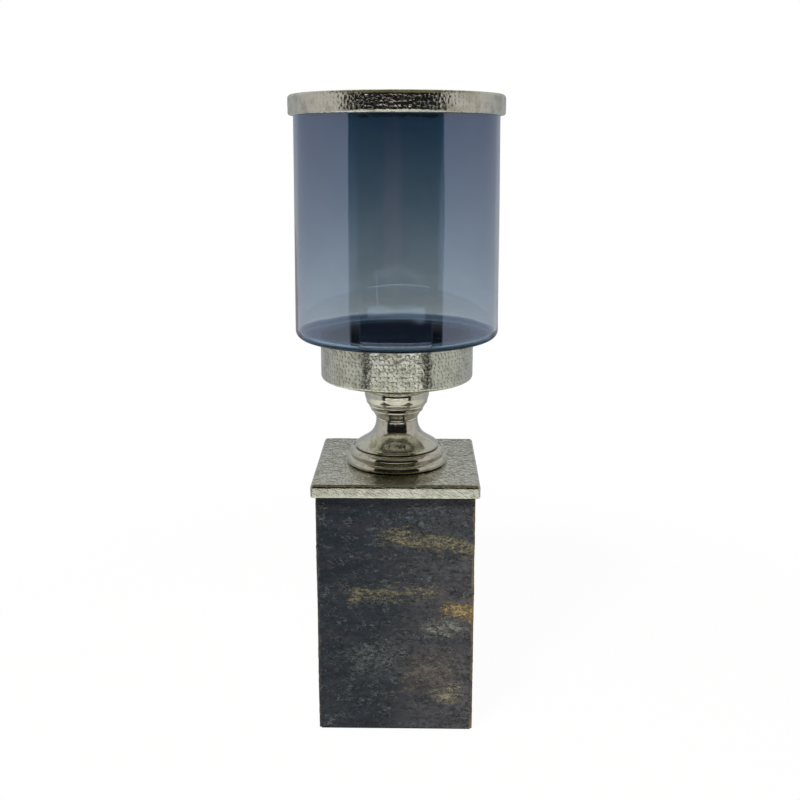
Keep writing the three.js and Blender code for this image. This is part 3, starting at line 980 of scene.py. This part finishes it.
@dataclass
class HurricaneGlass:
    """The blown cylinder with its rounded heel and the sunk middle that drops into the cup."""

    wall: float = 2.8
    floor: float = 3.0
    flare: float = 1.5
    heel: float = 5.5
    well_depth: float = 14.0
    well_corner: float = 3.0
    well_curve: float = 1.4  # radius where the floor turns down into the well
    spigot_curve: float = 0.8
    cup_wall: float = 2.6
    cup_fit: float = 0.9
    step: float = 0.9
    segments: int = 320

    def outline(self) -> Array:
        """The wall's section, from the middle of the underside round the rim to the well's middle.

        Returns:
            Radius and height, shape (n, 2), first and last on the axis.
        """
        foot, low, high = span("hurricane_glass")
        rim = foot - self.flare
        base = low + self.well_depth
        spigot = span("holder_cup")[0] - self.cup_wall - self.cup_fit
        well = spigot - self.wall
        lip = self.wall / 2
        inner_heel = self.heel - self.wall * 0.6
        path = Outline(0.0, low)
        path.arc(spigot - self.well_corner, low + self.well_corner, self.well_corner, -90, 0)
        path.arc(spigot + self.spigot_curve, base - self.spigot_curve, self.spigot_curve, 180, 90)
        path.arc(foot - self.heel, base + self.heel, self.heel, -90, 0)
        path.arc(rim - lip, high - lip, lip, 0, 180)
        inner_foot = foot - self.wall
        path.arc(inner_foot - inner_heel, base + self.floor + inner_heel, inner_heel, 0, -90)
        turn = self.well_curve
        path.arc(well + turn, base + self.floor - turn, turn, 90, 180)
        corner = self.well_corner - 1
        path.arc(well - corner, low + self.floor + corner, corner, 0, -90)
        path.line(0.0, low + self.floor)

        def curved(points: Array) -> Array:
            """Whether a point is off the straight wall and the middle of the floor."""
            upright = (points[:, 1] > base + 16) & (points[:, 1] < high - 6)
            return ~(upright | (points[:, 0] < 0.8 * well))

        return path.sampled(self.step, closed=False, fine=curved)

    def build(self) -> None:
        """Builds and dresses the glass, its faces rippled as blown glass is."""
        path = self.outline()
        side = side_of(path, closed=False)
        plain, normal = revolved(path, self.segments), revolved(side, self.segments)
        upright = np.abs(side[:, :1])
        ripple = drift(plain * np.array([1.0, 1.0, 0.4]), 26.0, 21) * 0.16
        ripple += drift(plain, 9.0, 22) * 0.012
        grid = plain + normal * (ripple * upright * smooth(plain[..., 2], 284.0, 297.0))[..., None]
        glass = surface("hurricane_cylinder", grid)
        finish = LustreGlass(floor_top=span("hurricane_glass")[1] + self.well_depth + self.floor)
        install(glass, Body.SHADE, Slot.GLASS, finish, "hurricane_glass")


# ------------------------------------------------------------------ cup and stem


@dataclass
class CupAndStem:
    """The hammered cup and the three cast pieces below it."""

    cup_wall: float = 2.6
    cup_floor: float = 3.0
    cup_corner: float = 3.0
    rod_hole: float = 4.3
    neck: float = 16.0
    wall: float = 4.0
    collar: float = 20.0
    collar_height: float = 6.7
    lip_height: float = 2.5
    flare_in: float = 1.0  # from the edge of the lip in to the foot of the flare
    flare_up: float = 0.2  # and from the top of the lip up to it
    lower_step: float = 6.4
    step_in: float = 2.5
    foot_turn: float = 0.34  # the tight curve's share of a step's height
    knop_curve: float = 18.7
    bead: float = 0.55
    bead_half: float = 0.035  # like the levels, a share of the swelling curve's height
    groove_half: float = 0.03
    groove_below: float = 0.07
    bead_levels: tuple[float, float] = (0.37, 0.70)  # shares of the swelling curve's height
    cup_step: float = 0.5  # between the points of its section
    cup_segments: int = 560
    blow_pitch: float = 3.3
    blow_depth: float = 0.13
    dent_pitch: float = 3.4

    def cup(self) -> None:
        """Builds the cup: straight sides, a rounded lower corner and a rounded rim."""
        outer, low, high = span("holder_cup")
        inner = outer - self.cup_wall
        rim = self.cup_wall / 2
        inside = self.cup_corner - 1
        path = Outline(self.rod_hole, low)
        path.arc(outer - self.cup_corner, low + self.cup_corner, self.cup_corner, -90, 0)
        path.arc(outer - rim, high - rim, rim, 0, 180)
        path.arc(inner - inside, low + self.cup_floor + inside, inside, 0, -90)
        path.line(self.rod_hole, low + self.cup_floor)

        def in_view(points: Array) -> Array:
            """Whether a point is on the outer wall, the rim or the lower corner."""
            corner = np.hypot(outer - points[:, 0], points[:, 1] - low) < self.cup_corner
            return (points[:, 0] > outer - 0.8) | (points[:, 1] > high - 1.6) | corner

        points = path.sampled(self.cup_step, fine=in_view)
        out = side_of(points)
        share = smooth(points[:, 0], inner, outer - 0.6) * smooth(out[:, 0], -0.2, 0.5)
        share = (share * smooth(high - points[:, 1], 0.2, 1.4))[:, None]

        def depth(run: Array, angle: Array, point: Array) -> Array:
            """Close blows up to blow_depth deep, over the slow wave of a hand-beaten wall."""
            blows = round_blows(angle, run, outer, self.blow_pitch, 31)
            return share * (-self.blow_depth * blows + 0.05 * drift(point, 16.0, 32))

        cup = surface("holder_cup_hammered", pushed(points, self.cup_segments, depth), wrap_rows=True)
        title = "Nickel_plated_aluminium_hammered_cup"
        finish = HammeredNickel(title, radius=outer, patina=0.55)
        install(cup, Body.STAND, Slot.HAMMERED, finish, "holder_cup")
        dress_node("cup_gasket", Silicone())

    def polished(
        self, node: str, path: Outline, step: float = 0.45, segments: int = 240, dents: float = 0.0
    ) -> None:
        """Builds one polished casting from its section, with the slight wave of hand finishing.

        Args:
            node: The CAD node that it stands for.
            path: Its closed section, anticlockwise.
            step: Distance between points of the section.
            segments: Number of points round it.
            dents: Depth of the small dents left by the planishing hammer.
        """
        edge = span(node)[0]
        hidden = min(0.6 * edge, self.neck - 0.5)
        points = path.sampled(step, fine=lambda place: place[:, 0] > hidden)

        def depth(run: Array, angle: Array, point: Array) -> Array:
            """A wave of a few hundredths of a millimetre, with dents."""
            blows = round_blows(angle, run, edge, self.dent_pitch, 43)
            return 0.035 * drift(point, 6.0, 41) + 0.012 * drift(point, 2.2, 42) - 0.02 - dents * blows

        piece = surface(f"{node}_polished", pushed(points, segments, depth), wrap_rows=True)
        install(piece, Body.STAND, Slot.POLISHED, PolishedNickel(), node)

    def knop(self) -> None:
        """Builds the knop: a swelling curve with two fine beads, a shoulder and a collar."""
        outer, low, high = span("stem_knop")
        rise = self.knop_curve
        shoulder = outer - self.collar
        pulled = (self.neck + 0.73 * (outer - self.neck), low + 0.44 * rise)
        curve = Outline(self.neck, low).curve((self.neck, low + 0.21 * rise), pulled, (outer, low + rise))
        side = curve.sampled(0.1, closed=False)
        for level in self.bead_levels:
            gap = (side[:, 1] - low) / rise - level
            groove = 0.5 * np.exp(-(((gap + self.groove_below) / self.groove_half) ** 2))
            side[:, 0] += self.bead * (np.exp(-((gap / self.bead_half) ** 2)) - groove)
        path = Outline(self.rod_hole, low)
        path.points.append(side)
        path.arc(self.collar, high - self.collar_height - shoulder, shoulder, 0, 90)
        path.line(self.collar, high).line(self.collar - self.wall, high)
        path.line(self.collar - self.wall, low + 0.75 * rise)
        path.line(self.neck - self.wall, low + self.wall).line(self.rod_hole, low + self.wall)
        self.polished("stem_knop", path, 0.35)

    def trumpet(self) -> None:
        """Builds the flare: a rolled lip, a concave curve up to the neck, and a hollow underside."""
        outer, low, high = span("stem_trumpet")
        lip = self.lip_height / 2
        flare = outer - self.flare_in
        rise = high - low - self.lip_height - self.flare_up
        start = low + self.lip_height + self.flare_up
        bore = self.neck - self.wall
        path = Outline(outer - lip - self.wall, low)
        path.arc(outer - lip, low + lip, lip, -90, 65).line(flare, start)
        pulled = (flare - 0.34 * (flare - self.neck), start + 0.2 * rise)
        path.curve(pulled, (self.neck, start + 0.35 * rise), (self.neck, high))
        path.line(self.rod_hole, high).line(self.rod_hole, high - self.wall)
        path.line(bore, high - self.wall).line(bore, low + self.lip_height + self.wall)
        path.line(outer - lip - 2 * self.wall, low + self.wall / 2)
        self.polished("stem_trumpet", path, dents=0.035)

    def foot(self) -> None:
        """Builds the foot ring: two rolled steps, each with a tight lower and a wide upper curve."""
        outer, low, high = span("foot_ring")
        path = Outline(self.rod_hole, low)
        for edge, base, height in (
            (outer, low, self.lower_step),
            (outer - self.step_in, low + self.lower_step, high - low - self.lower_step),
        ):
            tight = self.foot_turn * height
            wide = height - tight
            path.arc(edge - tight, base + tight, tight, -90 if base == low else -60, 0)
            path.arc(edge - wide, base + tight, wide, 0, 82 if base == low else 90)
        path.line(self.rod_hole, high)
        self.polished("foot_ring", path, 0.35, 420, dents=0.1)

    def build(self) -> None:
        """Builds and dresses the cup, knop, flare and foot."""
        self.cup()
        self.knop()
        self.trumpet()
        self.foot()


# ------------------------------------------------------------------ cap plate


def square_walk(count: int) -> Array:
    """Points evenly round a square of half side 1, anticlockwise from its right side's middle.

    Args:
        count: Number of points, a multiple of 8.

    Returns:
        Points, shape (count, 2).
    """
    t = (np.arange(count) / count * 8.0 + 1.0) % 8.0
    side, along = (t // 2).astype(int), t % 2 - 1.0
    sides = [side == k for k in range(4)]
    x = np.select(sides, [1.0, -along, -1.0, along])
    y = np.select(sides, [along, 1.0, -along, -1.0])
    return np.stack([x, y], axis=1)


def rounded(walk: Array, half: Array, corner: Array) -> tuple[Array, Array]:
    """Squares with rounded corners.

    A point of the plain square is drawn back to the square that holds the corners' centres,
    then moved out again by the corner radius along its own direction.

    Args:
        walk: Points round a unit square, shape (n, 2).
        half: Half side of each square, shape (m,).
        corner: Corner radius of each square, shape (m,).

    Returns:
        The points and their outward directions, both of shape (m, n, 2).
    """
    plain, reach = walk[None] * half[:, None, None], (half - corner)[:, None, None]
    core = np.clip(plain, -reach, reach)
    out = plain - core
    out = out / np.maximum(np.linalg.norm(out, axis=-1, keepdims=True), 1e-9)
    return core + out * corner[:, None, None], out


@dataclass
class CapPlate:
    """The hammered square plate that caps the pedestal, with a skirt round its edge."""

    wall: float = 3.2
    corner: float = 2.0
    edge: float = 2.6  # radius of the upper edge
    lower_edge: float = 1.0
    eased: float = 0.4  # radius of the corners inside the skirt
    rod_hole: float = 4.3
    round_within: float = 34.0  # below this size the section's square starts to turn round
    step: float = 0.85
    columns: int = 496
    field: float = 200.0  # half side of the flat field of blows, larger than the plate
    blow_pitch: float = 2.9
    blow_depth: float = 0.2

    def build(self) -> None:
        """Builds and dresses the plate.

        The section runs from the rod hole out over the top, round the edge, down the skirt and
        back under the top. Each point of the section is carried round a square with rounded
        corners that is smaller by its inset, and near the hole the square turns into a circle.
        """
        half, low, high = span("cap_plate")
        hollow = half - self.wall
        path = Outline(self.rod_hole, high)
        path.arc(half - self.edge, high - self.edge, self.edge, 90, 0)
        path.arc(half - self.lower_edge, low + self.lower_edge, self.lower_edge, 0, -90)
        path.arc(hollow + self.eased, low + self.eased, self.eased, -90, -180)
        path.line(hollow, high - self.wall).line(self.rod_hole, high - self.wall)
        points = path.sampled(self.step)
        sizes = points[:, 0]
        inward = smooth(half - sizes, half - self.round_within, half - self.rod_hole)
        corner = self.corner * (1 - inward) + sizes * inward
        inner_wall = (points[:, 1] < high - 0.5 * self.wall) & (sizes <= hollow + 0.3)
        corner = np.where(inner_wall & (sizes > 0.9 * hollow), self.eased, corner)
        flat, out = rounded(square_walk(self.columns), sizes, corner)
        height = np.broadcast_to(points[:, 1][:, None, None], flat.shape[:2] + (1,))
        plain = np.concatenate([flat, height], axis=-1)
        turn = -side_of(points)
        rise = np.broadcast_to(turn[:, 1][:, None, None], height.shape)
        normal = np.concatenate([out * turn[:, 0][:, None, None], rise], axis=-1)
        outside = smooth(turn[:, 0], 0.1, 0.6) + smooth(turn[:, 1], 0.1, 0.6)
        outside = np.clip(outside, 0.0, 1.0) * (sizes > hollow * 0.2) * ~inner_wall
        top = smooth(turn[:, 1], 0.3, 0.9)[:, None]
        x, y = plain[..., 0] + self.field, plain[..., 1] + self.field
        grain = hammer_blows(x, y, 2 * self.field, self.blow_pitch, 51)
        along = np.arange(self.columns)[None, :] / self.columns * 8 * half
        rim = hammer_blows(along + 0.0 * height[..., 0], height[..., 0], 8 * half, self.blow_pitch, 52)
        blows = 1.3 * top * grain + (1 - top) * rim
        wave = drift(plain, 30.0, 53) * 0.16 + drift(plain, 11.0, 54) * 0.07
        push = outside[:, None] * (-self.blow_depth * blows + 0.6 * wave - 0.06)
        plate = surface("cap_plate_hammered", plain + normal * push[..., None], wrap_rows=True)
        finish = HammeredNickel(mark=3.3, mark_depth=0.1, scatter=0.9, patina=0.26)
        install(plate, Body.STAND, Slot.HAMMERED, finish, "cap_plate")


# ------------------------------------------------------------------ pedestal


@dataclass
class Pedestal:
    """Four mitred boards with a trowelled finish, and what stands inside them."""

    thick: float = 9.0
    arris: float = 0.7
    gap: float = 0.1
    step: float = 0.78
    relief: float = 0.4

    def build(self) -> None:
        """Builds the four boards and dresses the inner pieces."""
        for turn, name in enumerate(("front", "right", "back", "left")):
            self.board(name, turn * math.pi / 2)
        for node in ("base_board", "top_board", *(f"corner_block_{i}" for i in range(1, 5))):
            dress_node(node, Fibreboard())
        dress_node("base_felt", Felt())

    def board(self, name: str, turn: float) -> None:
        """Builds one board.

        Its section is the mitred board with a quarter of each rounded arris, carried up in
        level rows. The outside moves along its normal by a trowelled relief: slow waves plus
        level ridges, which fade out under the skirt of the cap.

        Args:
            name: Which side it is.
            turn: Its turn about Z from the front, in radians.
        """
        node = f"panel_{name}"
        _, low, high = span(node)
        half = span("panel_front")[0] + self.gap
        arris, back = self.arris, self.thick
        cut = -half + arris * (1 - math.sqrt(0.5))  # where the mitre meets the rounded arris
        path = Outline(-half + back + self.gap, -half + back).line(cut + self.gap, cut)
        path.arc(-half + arris, -half + arris, arris, 225, 270)
        path.arc(half - arris, -half + arris, arris, -90, -45)
        path.line(half - back - self.gap, -half + back)
        section = path.sampled(self.step)
        out = side_of(section)
        outer = smooth(-out[:, 1], 0.35, 0.7)[:, None]
        rows = np.linspace(low, high, round((high - low) / self.step) + 1)
        grid = np.empty((len(rows), len(section), 3))
        grid[..., :2] = section[None]
        grid[..., 2] = rows[:, None]
        normal = np.concatenate([out, np.zeros((len(out), 1))], axis=1)[None]
        cos, sin = math.cos(turn), math.sin(turn)
        spin = np.array([[cos, sin, 0.0], [-sin, cos, 0.0], [0.0, 0.0, 1.0]])
        grid, normal = grid @ spin, normal @ spin
        level = grid * np.array([1.0, 1.0, 1.9])
        dense = smooth(drift(level, 24.0, 60), -0.15, 0.5)
        relief = 0.5 * drift(grid, 34.0, 62) + 0.2 * drift(level, 6.0, 63)
        relief += 0.75 * dense * wrinkles(level, 8.0, 64) + 0.16 * drift(grid, 2.4, 66)
        fade = smooth(high - grid[..., 2], 6.0, 16.0) * smooth(grid[..., 2] - low, 0.0, 3.0)
        push = (self.relief * relief * fade - 0.05) * outer[:, 0][None, :]
        grid = grid + normal * push[..., None]
        board = surface(f"{node}_trowelled", grid, crease=60.0)
        install(board, Body.STAND, Slot.SLATE, SlateFinish(half=half), node)


# ------------------------------------------------------------------ fasteners


@dataclass
class Fasteners:
    """The threaded tie rod with its nuts and washers, and the base screws."""

    pitch: float = 1.25
    thread: float = 0.6
    ease: float = 0.04  # between the crests of the thread and the CAD rod's face
    chamfer: float = 0.8
    bore: float = 4.3
    cone_slope: float = 1.6

    def rod(self) -> None:
        """Builds the threaded rod: its radius less a triangle wave of (height / pitch - turn)."""
        outer, low, high = span("tie_rod")
        rows = np.arange(low, high + 1e-6, self.pitch / 8)
        rows = np.append(rows[rows < high], high)[:, None]
        angle = angles(24)
        phase = (rows / self.pitch - angle / (2 * np.pi)) % 1.0
        radius = outer - self.ease - self.thread * (1.0 - np.abs(2.0 * phase - 1.0))
        ends = np.minimum(rows - low, high - rows)
        radius = np.minimum(radius, outer - self.chamfer + ends)
        rod = surface("tie_rod_threaded", turned(radius, rows, angle), crease=20.0)
        install(rod, Body.STAND, Slot.STEEL, ZincSteel(), "tie_rod")

    def nut(self, node: str) -> None:
        """Builds a six-sided nut whose corners are turned off by a cone at both ends.

        The half width in direction a is flat / cos(a folded into one sixth), and within the
        chamfer it's at most the cone's radius.

        Args:
            node: The CAD node that it stands for.
        """
        corner, low, high = span(node)
        flat = corner * math.cos(math.pi / 6)
        path = Outline(self.bore, low).line(corner, low).line(corner, high).line(self.bore, high).sampled(0.4)
        angle = angles(96)
        hexagon = flat / np.cos(angle % (math.pi / 3) - math.pi / 6)
        height = path[:, 1:]
        cone = flat + 0.1 + self.cone_slope * np.minimum(height - low, high - height)
        radius = np.minimum(path[:, :1], np.minimum(hexagon, cone))
        nut = surface(f"{node}_hexagon", turned(radius, height, angle), wrap_rows=True, crease=25.0)
        install(nut, Body.STAND, Slot.STEEL, ZincSteel(), node)

    def build(self) -> None:
        """Builds the rod and nuts, and dresses the washers and screws."""
        self.rod()
        self.nut("cup_nut")
        self.nut("rod_nut")
        for node in ("cup_washer", "rod_washer", *(f"base_screw_{i}" for i in range(1, 5))):
            dress_node(node, ZincSteel())


# ------------------------------------------------------------------ studio


@dataclass(frozen=True)
class Patch:
    """A rectangle of the surroundings, in degrees of azimuth from the front and of elevation."""

    left: float
    right: float
    low: float
    high: float
    soft: float
    colour: tuple[float, float, float]

    def share(self, azimuth: Field, rise: Field) -> Field:
        """1 within the rectangle and 0 beyond it, with soft edges."""
        inside: list[Field] = []
        for value, low, high in ((azimuth, self.left, self.right), (rise, self.low, self.high)):
            enter = value.ramp(low - self.soft, low + self.soft)
            inside.append(enter * value.ramp(high - self.soft, high + self.soft, 1.0, 0.0))
        return inside[0] * inside[1]


@dataclass
class Studio:
    """A light tent with its dark front opening, a pale floor, soft lamps and the camera."""

    place: tuple[float, float, float] = (15.7, -757.7, 437.1)
    turn: float = 1.009  # degrees round Z
    pitch: float = 12.749  # degrees below level
    lens: float = 45.519
    shift: float = -0.03
    tent: float = 0.6
    back: float = 0.46
    patches: tuple[Patch, ...] = (
        Patch(120.0, 181.0, 15.5, 52.0, 1.5, (0.6, 0.6, 0.58)),  # brighter cloth above the rail
        Patch(-181.0, -120.0, 15.5, 52.0, 1.5, (0.6, 0.6, 0.58)),
        Patch(168.0, 181.0, 5.0, 14.5, 2.0, (0.012, 0.028, 0.036)),  # rail of the frame behind
        Patch(-181.0, -168.0, 5.0, 14.5, 2.0, (0.012, 0.028, 0.036)),
        Patch(-181.0, 181.0, 52.0, 100.0, 5.0, (0.17, 0.145, 0.08)),  # open top of the tent
        Patch(-40.0, 40.0, -27.0, -11.4, 1.5, (0.85, 0.85, 0.81)),  # floor cloth in front
        Patch(-40.0, 40.0, -15.0, -11.0, 0.5, (1.6, 1.6, 1.52)),  # brighter beyond the table
        Patch(-53.0, 53.0, -8.4, 68.0, 1.0, (0.012, 0.013, 0.014)),  # the opening
        Patch(-80.0, -4.0, 38.0, 100.0, 5.0, (0.16, 0.135, 0.075)),  # warm ceiling beyond it, left
        Patch(-4.0, 80.0, 38.0, 100.0, 5.0, (0.2, 0.18, 0.095)),  # and right
        Patch(-40.0, 40.0, -11.2, -8.35, 0.25, (0.04, 0.055, 0.07)),  # the sill
        Patch(-31.0, 32.0, -8.35, -7.85, 0.1, (0.5, 0.58, 0.54)),  # its lit edge
        Patch(-52.0, -40.0, -27.0, -8.5, 1.0, (0.014, 0.015, 0.017)),  # legs of the frame
        Patch(40.0, 53.0, -27.0, -8.5, 1.0, (0.014, 0.015, 0.017)),
        Patch(-44.0, 43.0, -16.6, -14.9, 0.5, (0.03, 0.03, 0.028)),  # the table's front edge
        Patch(-16.0, -12.0, -16.0, -15.2, 0.3, (1.2, 1.2, 1.15)),  # two small lamps
        Patch(12.0, 16.0, -16.0, -15.2, 0.3, (1.2, 1.2, 1.15)),
        Patch(-12.0, 6.0, -6.0, 1.0, 4.0, (0.11, 0.045, 0.055)),  # something red in the room
        Patch(-21.0, -19.0, -7.9, -6.4, 0.4, (0.25, 0.25, 0.25)),
    )
    floor_radius: float = 600.0
    paper_glow: float = 0.97  # how far the paper shows plain white to the camera
    aim_height: float = 0.24  # metres, where the lamps point

    def camera(self) -> None:
        """Sets the camera in front of the lantern, a little above its middle and looking down."""
        data = bpy.data.cameras.new("camera")
        data.lens, data.sensor_width, data.shift_y = self.lens, 36.0, self.shift
        data.clip_start, data.clip_end = 0.05, 20.0
        made = linked("camera", data)
        made.location = Vector(self.place) * MM
        made.rotation_euler = (math.radians(90 - self.pitch), 0.0, math.radians(self.turn))
        bpy.context.scene.camera = made

    @staticmethod
    def cloth(level: float, red: float, blue: float) -> tuple[float, float, float, float]:
        """Light from white cloth, with its red and blue as shares of its green."""
        return (level * red, level, level * blue, 1.0)

    def world(self) -> None:
        """Lights the scene with a pale tent that is open, and dark, towards the front."""
        world = bpy.data.worlds.new("light_tent")
        bpy.context.scene.world = world
        world.use_nodes = True
        tree = world.node_tree
        tree.nodes.clear()
        x, y, z = Field(add(tree, "ShaderNodeTexCoord").outputs["Generated"]).xyz()
        degrees = 180.0 / math.pi
        azimuth = x.sum("ARCTAN2", y * -1.0) * degrees
        rise = z.sum("ARCSINE") * degrees
        low_sides, high_sides = self.cloth(self.tent, 0.975, 0.95), self.cloth(self.tent, 1.09, 0.98)
        sides = rise.ramp(-9.0, 1.0).blend(low_sides, high_sides)
        tone = abs(azimuth).ramp(85.0, 135.0).blend(sides, self.cloth(self.back, 0.98, 1.04))
        for patch in self.patches:
            tone = patch.share(azimuth, rise).blend(tone, (*patch.colour, 1.0))
        white = (1.0, 1.0, 1.0, 1.0)
        light, seen = (tone.made("ShaderNodeBackground", {0: c, 1: 1.0}) for c in (tone, white))
        eye = Field(add(tree, "ShaderNodeLightPath").outputs["Is Camera Ray"])
        mix = eye.made("ShaderNodeMixShader", {0: eye, 1: light, 2: seen})
        add(tree, "ShaderNodeOutputWorld", {"Surface": mix})

    def floor(self) -> None:
        """Lays a round pale floor that fades out at its rim."""
        radius = self.floor_radius
        rings = np.linspace(0.0, radius, 25)
        grid = revolved(np.stack([rings, 0.0 * rings], axis=1), 96)
        mesh = bpy.data.meshes.new("floor")
        mesh.from_pydata((grid.reshape(-1, 3) * MM).tolist(), [], grid_faces(25, 96, False).tolist())
        made = bpy.data.materials.new("Backdrop_paper")
        made.use_nodes = True
        tree = made.node_tree
        tree.nodes.clear()
        edge = place(tree).vector("LENGTH", output="Value").ramp(0.62 * radius, 0.98 * radius, 1.0, 0.0)
        paper = Field(add(tree, "ShaderNodeBsdfDiffuse", {0: linear("#D2D2CE")}).outputs[0])
        glow = Field(add(tree, "ShaderNodeEmission", {0: (1.0, 1.0, 1.0, 1.0), 1: 1.0}).outputs[0])
        clear = Field(add(tree, "ShaderNodeBsdfTransparent").outputs[0])
        seen = Field(add(tree, "ShaderNodeLightPath").outputs["Is Camera Ray"]) * self.paper_glow
        lit = seen.made("ShaderNodeMixShader", {0: seen, 1: paper, 2: glow})
        mix = seen.made("ShaderNodeMixShader", {0: edge, 1: clear, 2: lit})
        add(tree, "ShaderNodeOutputMaterial", {"Surface": mix})
        mesh.materials.append(made)
        floor = linked("floor", mesh)

    def lamp(self, name: str, spot: Sequence[float], size: float, power: float) -> None:
        """Adds one square soft lamp aimed at the lantern, which no reflection shows.

        Args:
            name: Name of the lamp.
            spot: Where it stands, in metres.
            size: Its side, in metres.
            power: Its power in watts.
        """
        data = bpy.data.lights.new(name, "AREA")
        data.energy, data.size = power, size
        made = linked(name, data)
        made.location = spot
        aim = Vector((0.0, 0.0, self.aim_height)) - Vector(spot)
        made.rotation_euler = aim.to_track_quat("-Z", "Y").to_euler()
        made.visible_glossy = made.visible_transmission = made.visible_camera = False

    def build(self) -> None:
        """Sets up the camera, the light and the floor."""
        self.camera()
        self.world()
        self.floor()
        self.lamp("key", (-0.3, -0.55, 1.4), 0.22, 29.0)
        self.lamp("fill", (0.0, -1.7, 0.6), 1.2, 5.0)


# ------------------------------------------------------------------ main


def main() -> None:
    """Builds the studio and each sub-assembly in order."""
    bpy.context.scene.view_settings.view_transform = "Standard"
    for part in (Studio(), Pedestal(), CapPlate(), CupAndStem(), Fasteners(), HurricaneGlass(), RimRing()):
        part.build()
        log.info("%s built", type(part).__name__)
    bpy.context.view_layer.update()


if __name__ == "__main__":
    main()
